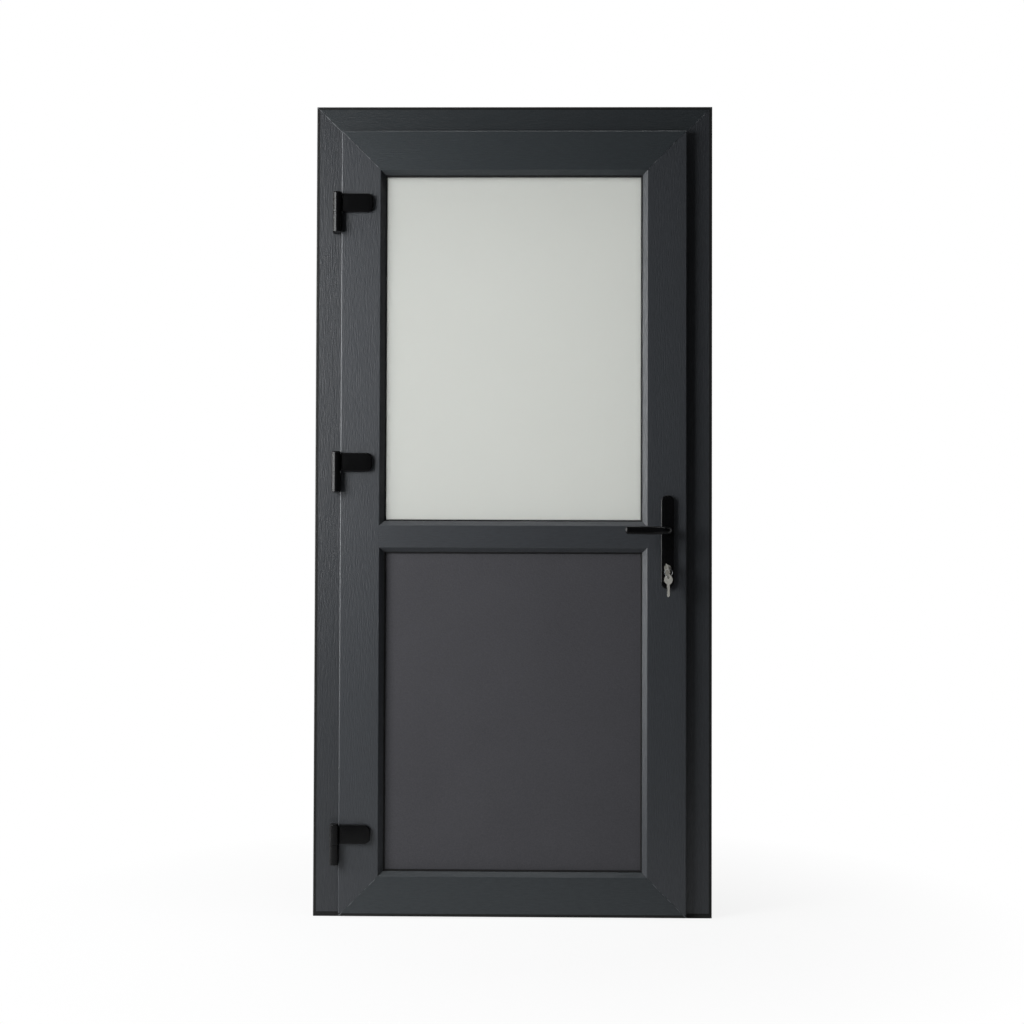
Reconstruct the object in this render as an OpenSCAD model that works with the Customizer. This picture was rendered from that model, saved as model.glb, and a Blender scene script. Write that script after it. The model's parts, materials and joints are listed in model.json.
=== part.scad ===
// Half-glazed hinged door: a mitred leaf with a frosted pane above and a solid panel below, in its frame
// X runs to the lock side, Y into the room and Z up, from the middle of the sill at floor level

/* [Frame] */
// Overall width of the frame
frame_w = 980; // [860:5:1100]
// Overall height of the frame
frame_h = 2000; // [1900:5:2200]
// Depth of the frame from front to back
frame_d = 70; // [66:1:80]
// Width of the frame's front face
frame_face = 72; // [66:1:80]
// Height of the rebate lip that the leaf closes against
frame_lip = 20; // [18:1:24]
// Thickness of the rebate lip
frame_lip_t = 16; // [14:1:18]
// Diameter of the holes for the anchors in the wall
anchor_d = 8; // [6:0.5:10]
// Height of the lowest and highest anchors above the floor and below the top
anchor_inset = 250; // [240:5:280]

/* [Leaf] */
// How far the leaf stands proud of the frame
leaf_proud = 20; // [18:0.5:23]
// How far the leaf overlaps the frame's front face
leaf_overlap = 8; // [7:0.5:10]
// Air gap between the leaf's body and the frame
air_gap = 12; // [11:0.5:14]
// Gap that each weather seal fills
seal_gap = 4; // [3.5:0.1:4.5]
// Clear height under the leaf
floor_gap = 4; // [3:0.5:6]
// Width of the leaf's flat front face
leaf_face = 97; // [94:1:104]
// Width of the bevel beside the glass
bevel_w = 11; // [8:0.5:12]
// Depth of the bevel
bevel_d = 14; // [12:0.5:15]
// Thickness of the edge behind the bevel
lip_edge = 3; // [2.5:0.5:4]
// Height of the rebate that takes the glass
rebate_h = 20; // [18:0.5:22]
// Height of the middle rail's centre above the floor
mid_rail_z = 934; // [900:1:1000]
// Width of the middle rail's flat front face
mid_rail_face = 54; // [50:1:64]

/* [Profiles] */
// Thickness of the outer walls
wall = 3; // [2.5:0.1:3.4]
// Thickness of the webs between the chambers
web = 1.6; // [1.2:0.1:2]
// Distance of the steel chamber from the sides of the frame
frame_chamber_in = 12; // [11:0.5:14]
// Distance of the steel chamber from the sides of the leaf
leaf_chamber_in = 8; // [7.5:0.5:10]
// Radius of the outer edges
edge_r = 3; // [1.5:0.5:4]
// Width of the cleaned weld along each mitre
weld_w = 2; // [1:0.5:3]
// Depth of the cleaned weld
weld_depth = 0.5; // [0.2:0.1:0.8]
// Thickness of the steel reinforcement
steel_t = 1.5; // [1:0.1:2]
// Clearance round the steel
steel_fit = 0.3; // [0.2:0.1:0.6]

/* [Glazing] */
// Thickness of each pane
pane_t = 4; // [3:0.5:6]
// Width of the gas space between the panes
cavity_w = 16; // [12:1:18]
// Room for packers round the edge of the glass and the panel
packer_t = 5; // [4:0.5:6]
// Thickness of the outer gasket
gasket_out = 4; // [3:0.5:5]
// Thickness of the inner gasket
gasket_in = 3; // [2:0.5:4]
// Width of gasket that shows beside the glass
gasket_show = 4; // [2:0.5:5]
// Thickness of the skins of the panel
skin_t = 2; // [1:0.5:3]
// Height of the spacer bar
spacer_h = 7; // [6:0.5:8]
// Depth of the sealant behind the spacer bar
sealant_h = 6; // [4:0.5:7]

/* [Hinges] */
// Height of the bottom hinge's joint above the floor
bottom_hinge_z = 180; // [170:1:186]
// Height of the middle hinge's joint above the floor
middle_hinge_z = 1091; // [1000:1:1150]
// Distance of the top hinge's joint below the top of the frame
top_hinge_drop = 269; // [262:1:300]
// Distance of the pin outside the leaf's edge
pin_out = 9; // [9:0.5:11]
// Outside diameter of the knuckles
knuckle_d = 22; // [20:0.5:24]
// Height of each knuckle
knuckle_h = 47; // [47:0.5:56]
// Diameter of the hinge pin
pin_d = 10; // [8:0.5:11]
// Wall of the bush round the pin
bush_t = 1.5; // [1:0.1:2]
// Thickness of the bush's collar between the knuckles
collar_t = 2; // [1.5:0.1:3]
// Length of the flag from the pin
flag_len = 88; // [84:1:100]
// Height of the flag's cover
flag_h = 46; // [42:0.5:46]
// Thickness of the flag's plate
flag_t = 5; // [4:0.5:6]
// Thickness of the cover's wall
cover_t = 2; // [1.5:0.1:2.5]
// Height of the cap on the upper knuckle
cap_h = 3.5; // [3:0.5:8]
// Diameter of the studs that hold a hinge to the frame
stud_d = 8; // [6:0.5:9]

/* [Handle] */
// Height of the lever's axis above the floor
lever_z = 950; // [900:1:1000]
// Width of the backplates
plate_w = 32; // [30:0.5:36]
// Height of the backplates
plate_h = 230; // [226:1:250]
// Thickness of the backplates
plate_t = 10; // [8:0.5:12]
// Radius of the backplates' outer edges
plate_r = 3; // [1:0.5:4]
// Height of the backplate's top above the lever's axis
plate_rise = 87; // [84:1:94]
// Distance of the screws from the backplate's ends
plate_screw_in = 12; // [10:0.5:13]
// Length of the lever from its axis to its tip
lever_len = 106; // [95:1:125]
// Distance from the backplate to the middle of the grip
lever_reach = 45; // [40:1:50]
// Diameter of the lever's neck
neck_d = 18; // [16:0.5:20]
// Radius of the bend from the neck to the grip
bend_r = 15; // [13:0.5:18]
// Height of the grip
grip_w = 21; // [18:0.5:24]
// Thickness of the grip
grip_t = 12; // [10:0.5:14]
// Width of the square spindle
spindle_w = 8; // [7:0.5:9]

/* [Lock] */
// Distance of the lever's axis from the leaf's edge
backset = 28; // [27:0.5:32]
// Distance from the lever's axis down to the cylinder's
cylinder_drop = 92; // [88:1:96]
// Thickness of the lock case
case_t = 15; // [14.8:0.1:15.8]
// Depth of the lock case behind its faceplate
case_depth = 44; // [43:0.5:50]
// Wall of the lock case
case_wall = 1.2; // [1:0.1:1.2]
// Width of the faceplate
faceplate_w = 16; // [16:0.5:18]
// Height of the faceplate
faceplate_h = 240; // [236:1:260]
// Thickness of the faceplate
faceplate_t = 3; // [2.5:0.1:3.4]
// Thickness of the latch and the dead bolt
bolt_t = 12; // [10:0.1:12]
// Height of the latch
latch_h = 28; // [24:0.5:29]
// How far the latch stands out
latch_throw = 14.5; // [13.5:0.5:16]
// Height of the dead bolt
dead_bolt_h = 24; // [20:0.5:28]
// Travel of the dead bolt
bolt_travel = 20; // [18:0.5:20]
// Thickness of the strike plate
strike_t = 7; // [5:0.5:7.5]
// Diameter of the cylinder's round part
cylinder_d = 17; // [16.5:0.1:17.5]
// Width of the cylinder's leg
cylinder_leg = 10; // [9:0.1:10.5]
// Height of the cylinder
cylinder_h = 33; // [32.5:0.1:34]
// Diameter of the plug that the key turns
plug_d = 13; // [12:0.1:13.4]

/* [Keys] */
// Tilt of the key from upright
key_tilt = 25; // [0:1:30]
// Thickness of the keys
key_t = 2; // [1.8:0.1:2.2]
// Width of a key's blade
blade_w = 8; // [7:0.1:8.4]
// Radius of a key's bow
bow_r = 12.5; // [12:0.1:14]
// Radius of the hole in a key's bow
bow_hole_r = 3.5; // [3.4:0.1:3.8]
// Mean radius of the key ring
ring_r = 9.2; // [9:0.1:10]
// Diameter of the ring's wire
wire_d = 1.4; // [1.2:0.1:1.5]

/* [Hidden] */
$fn = 48;
// Overshoot of a cut past the face that it opens, and a length that clears any section
spare = 1;
far = 200;
// Clearances: a turning fit, a seated piece, a piece let into its pocket and a piece in a loose hole
run = 0.05;
seat = 0.1;
pocket_fit = 0.3;
loose = 0.5;

pvc_grey = [0.22, 0.24, 0.26];
panel_grey = [0.24, 0.23, 0.25];
seal_black = [0.05, 0.05, 0.05];
fitting_black = [0.08, 0.08, 0.09];
steel_grey = [0.62, 0.63, 0.64];
glass_tint = [0.78, 0.80, 0.77, 0.8];
nickel = [0.78, 0.77, 0.73];
packer_blue = [0.25, 0.35, 0.55];
foam_white = [0.92, 0.91, 0.86];

// Faces of the frame and the leaf along Y
frame_front = -frame_d / 2;
frame_back = frame_d / 2;
lip_front = frame_back - frame_lip_t;
leaf_front = frame_front - leaf_proud;
leaf_back = lip_front - seal_gap;
leaf_d = leaf_back - leaf_front;
flange_w = leaf_overlap + air_gap;
flange_t = leaf_proud - seal_gap;

// Edges of the opening, of the leaf's flange and of its body
frame_x = frame_w / 2;
opening_x = frame_x - frame_face;
lip_x = opening_x - frame_lip;
leaf_x = opening_x + leaf_overlap;
leaf_top = frame_h - frame_face + leaf_overlap;
leaf_bottom = floor_gap;
leaf_h = leaf_top - leaf_bottom;
leaf_mid_z = (leaf_top + leaf_bottom) / 2;
body_x = leaf_x - flange_w;
body_top = leaf_top - flange_w;
body_bottom = leaf_bottom + flange_w;
threshold_h = leaf_bottom + leaf_overlap;
threshold_wall = 2;

// Rebates that hold the glass and the panel
leaf_reach = leaf_face + bevel_w;
lip_v = bevel_d + lip_edge;
rebate_u = leaf_reach - rebate_h;
rebate_x = leaf_x - rebate_u;
mid_half_face = mid_rail_face / 2;
mid_half_reach = mid_half_face + bevel_w;
mid_half_body = mid_half_reach - rebate_h;
glass_z = [mid_rail_z + mid_half_body, leaf_top - rebate_u];
panel_z = [leaf_bottom + rebate_u, mid_rail_z - mid_half_body];
unit_t = 2 * pane_t + cavity_w;
unit_y = leaf_front + lip_v + gasket_out;
unit_x = rebate_x - packer_t;
bead_v = lip_v + gasket_out + unit_t + gasket_in;
gasket_root = rebate_h - 12;

// Steel chambers, as the near and far corners of a section
frame_steel = [
    [frame_chamber_in, frame_chamber_in],
    [frame_face - frame_chamber_in, frame_d - frame_lip_t - wall - web]
];
leaf_steel = [
    [flange_w + leaf_chamber_in, lip_v + wall],
    [rebate_u - leaf_chamber_in, leaf_d - wall - leaf_chamber_in]
];
mid_steel = [
    [-mid_half_body + wall + web, lip_v + wall],
    [mid_half_body - wall - web, leaf_d - wall - leaf_chamber_in]
];
steel_end_gap = 5;

// Hinges
pin_x = -leaf_x - pin_out;
pin_y = leaf_front - knuckle_d / 2;
hinge_zs = [frame_h - top_hinge_drop, middle_hinge_z, bottom_hinge_z];
bush_d = pin_d + 2 * run + 2 * bush_t;
cover_x = pin_x + knuckle_d / 2 + seat;
cover_end_x = pin_x + flag_len;
cover_depth = knuckle_d / 2;
plate_clear = 0.6;
plate_half_h = flag_h / 2 - cover_t - plate_clear;
flag_rise = flag_h / 2 + collar_t / 2 + 1;
flag_screw_d = 4.8;
flag_screw_len = 34;
flag_screw_spots = [[24, -11], [24, 11], [64, 0]];
block_w = knuckle_d - 4;
block_gap = 2;
stud_len = 30;
stud_pitch = knuckle_h - 20;

// Lock and handle
lock_x = body_x - backset;
lock_y = leaf_front + leaf_d / 2;
cylinder_z = lever_z - cylinder_drop;
groove_w = faceplate_w + 2 * 0.2;
case_x = body_x - faceplate_t;
case_back = case_x - case_depth;
case_bottom = cylinder_z - cylinder_h + cylinder_d / 2 - 5;
case_top = lever_z + 50;
faceplate_z = (case_bottom + case_top - faceplate_h) / 2;
latch_z = lever_z + 30;
dead_bolt_z = cylinder_z + 47;
latch_len = 38;
dead_bolt_len = 36;
follower_d = 24;
follower_hub_d = 18;
plate_top = lever_z + plate_rise;
plate_mid_z = plate_top - plate_h / 2;
plate_screw_zs = [plate_top - plate_screw_in, plate_top - plate_h + plate_screw_in];
plate_screw_d = 5;
neck_in = plate_t - 2;
spindle_in = 22;
cylinder_out = 3;
cylinder_front = leaf_front - plate_t - cylinder_out;
cylinder_back = leaf_back + plate_t + cylinder_out;
cam_w = 10;
cam_r = 15;
cam_slot = cam_w + 0.6;
face_screw_d = 4;
face_screw_len = 25;
face_screw_in = 10;
cylinder_screw_d = 5;
cylinder_screw_z = cylinder_z - 20;
strike_z = [dead_bolt_z - 36, latch_z + 36];
strike_w = 24;
strike_window = 1;
strike_screw_d = 4.5;
strike_screw_zs = [strike_z[0] + 9, (dead_bolt_z + latch_z) / 2, strike_z[1] - 9];
anchor_pitch = (frame_h - 2 * anchor_inset) / 3;
anchor_zs = [for (i = [0:3]) anchor_inset + i * anchor_pitch];

// Keys
key_y = cylinder_front - 3;
blade_len = 32;
bow_y = key_y - bow_r - 1;
bow_hole_off = bow_r - bow_hole_r - 3;
ring_y = bow_y - bow_hole_off;
ring_drop = 1.4;
ring_top = [lock_x + ring_drop * sin(key_tilt), ring_y, cylinder_z - ring_drop * cos(key_tilt)];
spare_turn = 50;
spare_drop = 1.5;
spare_blade_len = 30;

// Flat shapes carried along Y or X, and rods along them
module along_y(y0, y1) {
    translate([0, y1, 0])
        rotate([90, 0, 0])
            linear_extrude(y1 - y0)
                children();
}

module along_x(x0, x1) {
    translate([x0, 0, 0])
        rotate([90, 0, 90])
            linear_extrude(x1 - x0)
                children();
}

module rod_y(d, y0, y1) {
    translate([0, y1, 0])
        rotate([90, 0, 0])
            cylinder(d = d, h = y1 - y0);
}

module rod_x(d, x0, x1) {
    translate([x0, 0, 0])
        rotate([0, 90, 0])
            cylinder(d = d, h = x1 - x0);
}

// A box between two opposite corners
module box(low, high) {
    translate(low)
        cube(high - low);
}

// A rectangle between two opposite corners
module pane(low, high) {
    translate(low)
        square(high - low);
}

// What lies outside a rounded corner: the arc's centre and radius, and the two faces' outward normals
module corner_cut(centre, r, n1, n2) {
    out = r + spare;
    difference() {
        polygon([centre, centre + out * n1, centre + out * (n1 + n2) / (1 + n1 * n2), centre + out * n2]);
        translate(centre)
            circle(r);
    }
}

// A rectangle with all four corners rounded
module round_pane(w, h, r) {
    difference() {
        square([w, h], center = true);
        for (sx = [-1, 1], sy = [-1, 1])
            corner_cut([sx * (w / 2 - r), sy * (h / 2 - r)], r, [sx, 0], [0, sy]);
    }
}

// A straight length of profile on one side of a rectangle: each end mitred where m is 1, square where it is 0
module profile_bar(turn, at, len, reach, m0 = 1, m1 = 1) {
    translate(at)
        rotate([0, turn, 0])
            intersection() {
                linear_extrude(len + 2 * spare, center = true)
                    children();
                rotate([90, 0, 0])
                    linear_extrude(2 * far, center = true)
                        polygon([
                            [-spare, -len / 2 - m0 * spare],
                            [reach + spare, -len / 2 + m0 * (reach + spare)],
                            [reach + spare, len / 2 - m1 * (reach + spare)],
                            [-spare, len / 2 + m1 * spare]
                        ]);
            }
}

// Four mitred lengths round the inside of a rectangle, each cut a little short at its mitres
module profile_ring(x, zs, y, reach) {
    mid_z = (zs[0] + zs[1]) / 2;
    tall = zs[1] - zs[0] - 2 * seat;
    wide = 2 * x - 2 * seat;
    for (turn = [0, 180])
        profile_bar(turn, [turn == 0 ? -x : x, y, mid_z], tall, reach)
            children();
    for (turn = [-90, 90])
        profile_bar(turn, [0, y, turn == -90 ? zs[0] : zs[1]], wide, reach)
            children();
}

// Shallow channel left by cleaning the weld along a mitre, on the front or back face of a bar
module weld_channel(turn, corner, y, len) {
    translate([corner[0], y, corner[1]])
        rotate([0, turn, 0])
            translate([-spare, -weld_depth, -weld_w / 2])
                cube([len * sqrt(2) + 2 * spare, 2 * weld_depth, weld_w]);
}

// Section of the frame: u from its outer edge towards the opening, v from its front face
module frame_section() {
    steel_u = [frame_steel[0][0], frame_steel[1][0]];
    steel_v = [frame_steel[0][1], frame_steel[1][1]];
    back_v = steel_v[1] + web;
    difference() {
        polygon([
            [0, 0], [frame_face, 0], [frame_face, frame_d - frame_lip_t],
            [frame_face + frame_lip, frame_d - frame_lip_t], [frame_face + frame_lip, frame_d], [0, frame_d]
        ]);
        corner_cut([edge_r, edge_r], edge_r, [-1, 0], [0, -1]);
        corner_cut([edge_r, frame_d - edge_r], edge_r, [-1, 0], [0, 1]);
        corner_cut([frame_face + frame_lip - edge_r, frame_d - edge_r], edge_r, [1, 0], [0, 1]);
        pane(frame_steel[0], frame_steel[1]);
        pane([wall, wall], [(frame_face - web) / 2, steel_v[0] - web]);
        pane([(frame_face + web) / 2, wall], [frame_face - wall, steel_v[0] - web]);
        pane([wall, steel_v[0]], [steel_u[0] - web, frame_d - wall]);
        pane([steel_u[1] + web, steel_v[0]], [frame_face - wall, steel_v[1]]);
        pane([steel_u[0], back_v], [steel_u[1], frame_d - wall]);
        pane(
            [steel_u[1] + web, frame_d - frame_lip_t + wall],
            [frame_face + frame_lip - wall, frame_d - wall]
        );
    }
}

// Outline of the leaf's rails: u from the flange's edge towards the glass, v from the front face
module leaf_outline() {
    bevel_n = [bevel_d, -bevel_w] / norm([bevel_d, bevel_w]);
    // Distance from the bevel's front edge to where its rounding starts
    bevel_t = edge_r * tan(atan2(bevel_d, bevel_w) / 2);
    difference() {
        polygon([
            [0, 0], [leaf_face, 0], [leaf_reach, bevel_d], [leaf_reach, lip_v], [rebate_u, lip_v],
            [rebate_u, leaf_d], [flange_w, leaf_d], [flange_w, flange_t], [0, flange_t]
        ]);
        corner_cut([edge_r, edge_r], edge_r, [-1, 0], [0, -1]);
        corner_cut([leaf_face - bevel_t, edge_r], edge_r, [0, -1], bevel_n);
    }
}

// Section of the leaf's rails with their chambers and the groove for the lock's faceplate
module leaf_section() {
    steel_u = [leaf_steel[0][0], leaf_steel[1][0]];
    steel_v = [leaf_steel[0][1], leaf_steel[1][1]];
    mid_u = (flange_w + rebate_u) / 2;
    groove_v = leaf_d / 2;
    difference() {
        leaf_outline();
        pane([flange_w - spare, groove_v - groove_w / 2], [flange_w + faceplate_t, groove_v + groove_w / 2]);
        pane(leaf_steel[0], leaf_steel[1]);
        pane([wall, wall], [flange_w - web, flange_t - wall]);
        pane([flange_w + wall, wall], [mid_u - web / 2, steel_v[0] - web]);
        pane([mid_u + web / 2, wall], [leaf_face - wall, lip_v - wall]);
        pane([flange_w + wall, steel_v[1] + web], [rebate_u - wall, leaf_d - wall]);
        pane([steel_u[1] + web, steel_v[0]], [rebate_u - wall, steel_v[1]]);
        pane([flange_w + wall, groove_v + groove_w / 2 + wall], [steel_u[0] - web, steel_v[1]]);
    }
}

// Section of the middle rail: u up and down from its centre, v from the front face
module middle_section() {
    bevel_n = [bevel_d, -bevel_w] / norm([bevel_d, bevel_w]);
    bevel_t = edge_r * tan(atan2(bevel_d, bevel_w) / 2);
    steel_v = [mid_steel[0][1], mid_steel[1][1]];
    difference() {
        polygon(concat(
            [for (s = [-1, 1]) each s < 0
                ? [[-mid_half_body, leaf_d], [-mid_half_body, lip_v], [-mid_half_reach, lip_v],
                   [-mid_half_reach, bevel_d], [-mid_half_face, 0]]
                : [[mid_half_face, 0], [mid_half_reach, bevel_d], [mid_half_reach, lip_v],
                   [mid_half_body, lip_v], [mid_half_body, leaf_d]]]
        ));
        corner_cut([mid_half_face - bevel_t, edge_r], edge_r, [0, -1], bevel_n);
        corner_cut([bevel_t - mid_half_face, edge_r], edge_r, [0, -1], [-bevel_n[0], bevel_n[1]]);
        pane(mid_steel[0], mid_steel[1]);
        pane([-mid_half_face + wall, wall], [-web / 2, lip_v - wall]);
        pane([web / 2, wall], [mid_half_face - wall, lip_v - wall]);
        pane([-mid_half_body + wall, steel_v[1] + web], [mid_half_body - wall, leaf_d - wall]);
    }
}

// Hollow steel box section that fits a chamber
module steel_section(chamber) {
    fit = [steel_fit, steel_fit];
    skin = [steel_t, steel_t];
    difference() {
        pane(chamber[0] + fit, chamber[1] - fit);
        pane(chamber[0] + fit + skin, chamber[1] - fit - skin);
    }
}

// Bulb seal on a flat strip: the strip lies on v = 0 and the bulb stands towards -v
module seal_section(u) {
    strip_w = leaf_overlap - 2;
    strip_t = 1.2;
    bulb_d = seal_gap - pocket_fit;
    bulb_wall = 0.8;
    translate([u, 0])
        difference() {
            union() {
                translate([-strip_w / 2, -strip_t])
                    square([strip_w, strip_t]);
                translate([0, -bulb_d / 2])
                    circle(d = bulb_d);
            }
            translate([0, -bulb_d / 2])
                circle(d = bulb_d - 2 * bulb_wall);
        }
}

// Countersunk screw along Z with its flat head at the top, z = 0
module sunk_screw(d, len) {
    head_h = d / 2;
    translate([0, 0, -len])
        cylinder(d = d, h = len - head_h + seat);
    translate([0, 0, -head_h])
        cylinder(d1 = d, d2 = 2 * d, h = head_h);
}

// Hole that takes a countersunk screw with a little room all round
module sunk_hole(d, len) {
    head_h = d / 2;
    translate([0, 0, -len])
        cylinder(d = d + 2 * seat, h = len + spare);
    translate([0, 0, -head_h])
        cylinder(d1 = d + 2 * seat, d2 = 2 * d + 2 * seat, h = head_h);
    cylinder(d = 2 * d + 2 * seat, h = spare);
}

// Outline of a profile cylinder: a round head with a leg below, in X and Z
module cylinder_outline(grow = 0) {
    leg_z = cylinder_d / 2 + cylinder_leg / 2 - cylinder_h;
    circle(d = cylinder_d + 2 * grow);
    translate([-cylinder_leg / 2 - grow, leg_z])
        square([cylinder_leg + 2 * grow, -leg_z]);
    translate([0, leg_z])
        circle(d = cylinder_leg + 2 * grow);
}

// Holes for the anchors through a jamb
module anchor_holes() {
    for (z = anchor_zs, s = [-1, 1])
        translate([s * frame_x, 0, z])
            rod_x(anchor_d, -frame_face - spare, frame_face + spare);
}

// Holes for the studs of the hinges' frame halves
module stud_holes() {
    for (z = hinge_zs, s = [-1, 1])
        translate([block_x(), 0, stud_z(z, s)])
            rod_y(stud_d + 2 * seat, frame_front - spare, frame_front + stud_len + spare);
}

// Middle of a hinge's block on the frame, and the height of one of its studs
function block_x() = -leaf_x - block_gap - block_w / 2;
function stud_z(z, s) = z - collar_t / 2 - knuckle_h / 2 + s * stud_pitch / 2;

// Windows and pockets for the latch and the dead bolt, grown all round
module bolt_windows(x0, x1, grow) {
    for (b = [[latch_z, latch_h], [dead_bolt_z, dead_bolt_h]])
        box(
            [x0, lock_y - bolt_t / 2 - grow, b[0] - b[1] / 2 - grow],
            [x1, lock_y + bolt_t / 2 + grow, b[0] + b[1] / 2 + grow]
        );
}

module strike_screw_holes() {
    for (z = strike_screw_zs)
        translate([opening_x - strike_t, lock_y, z])
            rotate([0, -90, 0])
                sunk_hole(strike_screw_d, face_screw_len + strike_t + spare);
}

// Everything that the lock and the handles cut out of the lock stile
module lock_cuts() {
    fit = pocket_fit;
    box(
        [case_back - fit, lock_y - case_t / 2 - fit, case_bottom - fit],
        [body_x, lock_y + case_t / 2 + fit, case_top + fit]
    );
    translate([lock_x, 0, lever_z])
        rod_y(2 * spindle_w, leaf_front - spare, leaf_back + spare);
    translate([lock_x, 0, cylinder_z])
        along_y(leaf_front - spare, leaf_back + spare)
            cylinder_outline(loose);
    for (z = plate_screw_zs)
        translate([lock_x, 0, z])
            rod_y(plate_screw_d + 2 * loose, leaf_front - spare, leaf_back + spare);
    for (z = face_screw_zs())
        translate([0, lock_y, z])
            rod_x(face_screw_d + 2 * seat, body_x - face_screw_len - spare, body_x);
}

function face_screw_zs() = [faceplate_z + face_screw_in, faceplate_z + faceplate_h - face_screw_in];

// Holes for the screws of the hinge flags
module flag_screw_holes() {
    for (z = hinge_zs, spot = flag_screw_spots)
        translate([pin_x + spot[0], 0, z + flag_rise + spot[1]])
            rod_y(flag_screw_d + 2 * seat, leaf_front - spare, leaf_front + flag_screw_len);
}

module frame_head() {
    color(pvc_grey)
        difference() {
            profile_bar(90, [0, frame_front, frame_h], frame_w, frame_face + frame_lip)
                frame_section();
            frame_welds();
        }
}

// The welds at the frame's two top corners
module frame_welds() {
    for (y = [frame_front, frame_back]) {
        weld_channel(45, [-frame_x, frame_h], y, frame_face + frame_lip);
        weld_channel(135, [frame_x, frame_h], y, frame_face + frame_lip);
    }
}

module frame_hinge_jamb() {
    color(pvc_grey)
        difference() {
            profile_bar(0, [-frame_x, frame_front, frame_h / 2], frame_h, frame_face + frame_lip, 0, 1)
                frame_section();
            frame_welds();
            anchor_holes();
            stud_holes();
        }
}

module frame_lock_jamb() {
    pocket_x = opening_x + bolt_travel - air_gap + spare;
    color(pvc_grey)
        difference() {
            profile_bar(180, [frame_x, frame_front, frame_h / 2], frame_h, frame_face + frame_lip, 1, 0)
                frame_section();
            frame_welds();
            anchor_holes();
            bolt_windows(opening_x - spare, pocket_x, strike_window + pocket_fit);
            strike_screw_holes();
        }
}

module frame_steels() {
    top = frame_h - frame_steel[1][0] - steel_end_gap;
    color(steel_grey)
        difference() {
            union() {
                for (s = [0, 180])
                    translate([s == 0 ? -frame_x : frame_x, frame_front, (top + steel_end_gap) / 2])
                        rotate([0, s, 0])
                            linear_extrude(top - steel_end_gap, center = true)
                                steel_section(frame_steel);
                translate([0, frame_front, frame_h])
                    rotate([0, 90, 0])
                        linear_extrude(frame_w - 2 * (frame_steel[1][0] + steel_end_gap), center = true)
                            steel_section(frame_steel);
            }
            anchor_holes();
            stud_holes();
            strike_screw_holes();
        }
}

// Aluminium sill section with a lip behind the leaf and ribs on its tread
module threshold() {
    t = threshold_wall;
    lip_top = threshold_h + frame_lip;
    tread_mid = (frame_front + lip_front) / 2;
    rib_w = 1.6;
    rib_h = 0.8;
    rib_pitch = 7;
    rib_ys = [for (i = [1:6]) frame_front + i * rib_pitch];
    hole_d = 6.5;
    hole_in = 105;
    color(steel_grey)
        difference() {
            union() {
                along_x(-opening_x, opening_x)
                    difference() {
                        polygon([
                            [frame_front, 0], [lip_front, 0], [lip_front, threshold_h],
                            [frame_front + t, threshold_h], [frame_front, threshold_h - t]
                        ]);
                        pane([frame_front + t, t], [tread_mid - t / 2, threshold_h - t]);
                        pane([tread_mid + t / 2, t], [lip_front - t / 2, threshold_h - t]);
                    }
                along_x(-lip_x, lip_x)
                    difference() {
                        pane([lip_front, 0], [frame_back, lip_top]);
                        pane([lip_front + t / 2, t], [frame_back - t, lip_top - t]);
                    }
                for (y = rib_ys)
                    along_x(-opening_x, opening_x)
                        pane([y, threshold_h], [y + rib_w, threshold_h + rib_h]);
            }
            for (s = [-1, 0, 1])
                translate([s * (opening_x - hole_in), (frame_front + tread_mid) / 2, -spare])
                    cylinder(d = hole_d, h = threshold_h + 2 * spare + rib_h);
        }
}

module frame_seal() {
    color(seal_black)
        profile_ring(body_x, [body_bottom, body_top], lip_front, leaf_overlap)
            seal_section(leaf_overlap / 2);
}

module strike_plate() {
    color(fitting_black)
        difference() {
            translate([0, lock_y, (strike_z[0] + strike_z[1]) / 2])
                along_x(opening_x - strike_t, opening_x)
                    round_pane(strike_w, strike_z[1] - strike_z[0], 4);
            bolt_windows(opening_x - strike_t - spare, opening_x + spare, strike_window);
            strike_screw_holes();
        }
}

module strike_screws() {
    color(steel_grey)
        for (z = strike_screw_zs)
            translate([opening_x - strike_t, lock_y, z])
                rotate([0, -90, 0])
                    sunk_screw(strike_screw_d, face_screw_len + strike_t);
}

// Lower half of a hinge: its knuckle and the block and studs that carry it on the frame
module hinge_frame_half(z) {
    top = z - collar_t / 2 - seat;
    color(fitting_black)
        difference() {
            union() {
                translate([pin_x, pin_y, top - knuckle_h])
                    cylinder(d = knuckle_d, h = knuckle_h);
                translate([0, 0, top - knuckle_h])
                    linear_extrude(knuckle_h)
                        pane([block_x() - block_w / 2, pin_y], [block_x() + block_w / 2, frame_front]);
                for (s = [-1, 1])
                    translate([block_x(), 0, stud_z(z, s)])
                        rod_y(stud_d, frame_front - spare, frame_front + stud_len);
            }
            translate([pin_x, pin_y, top - knuckle_h + cap_h])
                cylinder(d = pin_d + 2 * run, h = knuckle_h);
        }
}

module top_hinge_frame_half() {
    hinge_frame_half(hinge_zs[0]);
}

module middle_hinge_frame_half() {
    hinge_frame_half(hinge_zs[1]);
}

module bottom_hinge_frame_half() {
    hinge_frame_half(hinge_zs[2]);
}

module hinge_pins() {
    low = collar_t / 2 + seat + knuckle_h - cap_h;
    high = collar_t / 2 + knuckle_h - cap_h;
    color(steel_grey)
        for (z = hinge_zs)
            translate([pin_x, pin_y, z - low])
                cylinder(d = pin_d, h = low + high);
}

// The welds at the leaf's four corners
module leaf_welds() {
    for (y = [leaf_front, leaf_back], sx = [-1, 1], top = [0, 1])
        weld_channel(
            top == 1 ? (sx < 0 ? 45 : 135) : (sx < 0 ? -45 : -135),
            [sx * leaf_x, top == 1 ? leaf_top : leaf_bottom], y, leaf_reach
        );
}

module leaf_top_rail() {
    color(pvc_grey)
        difference() {
            profile_bar(90, [0, leaf_front, leaf_top], 2 * leaf_x, leaf_reach)
                leaf_section();
            leaf_welds();
        }
}

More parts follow.
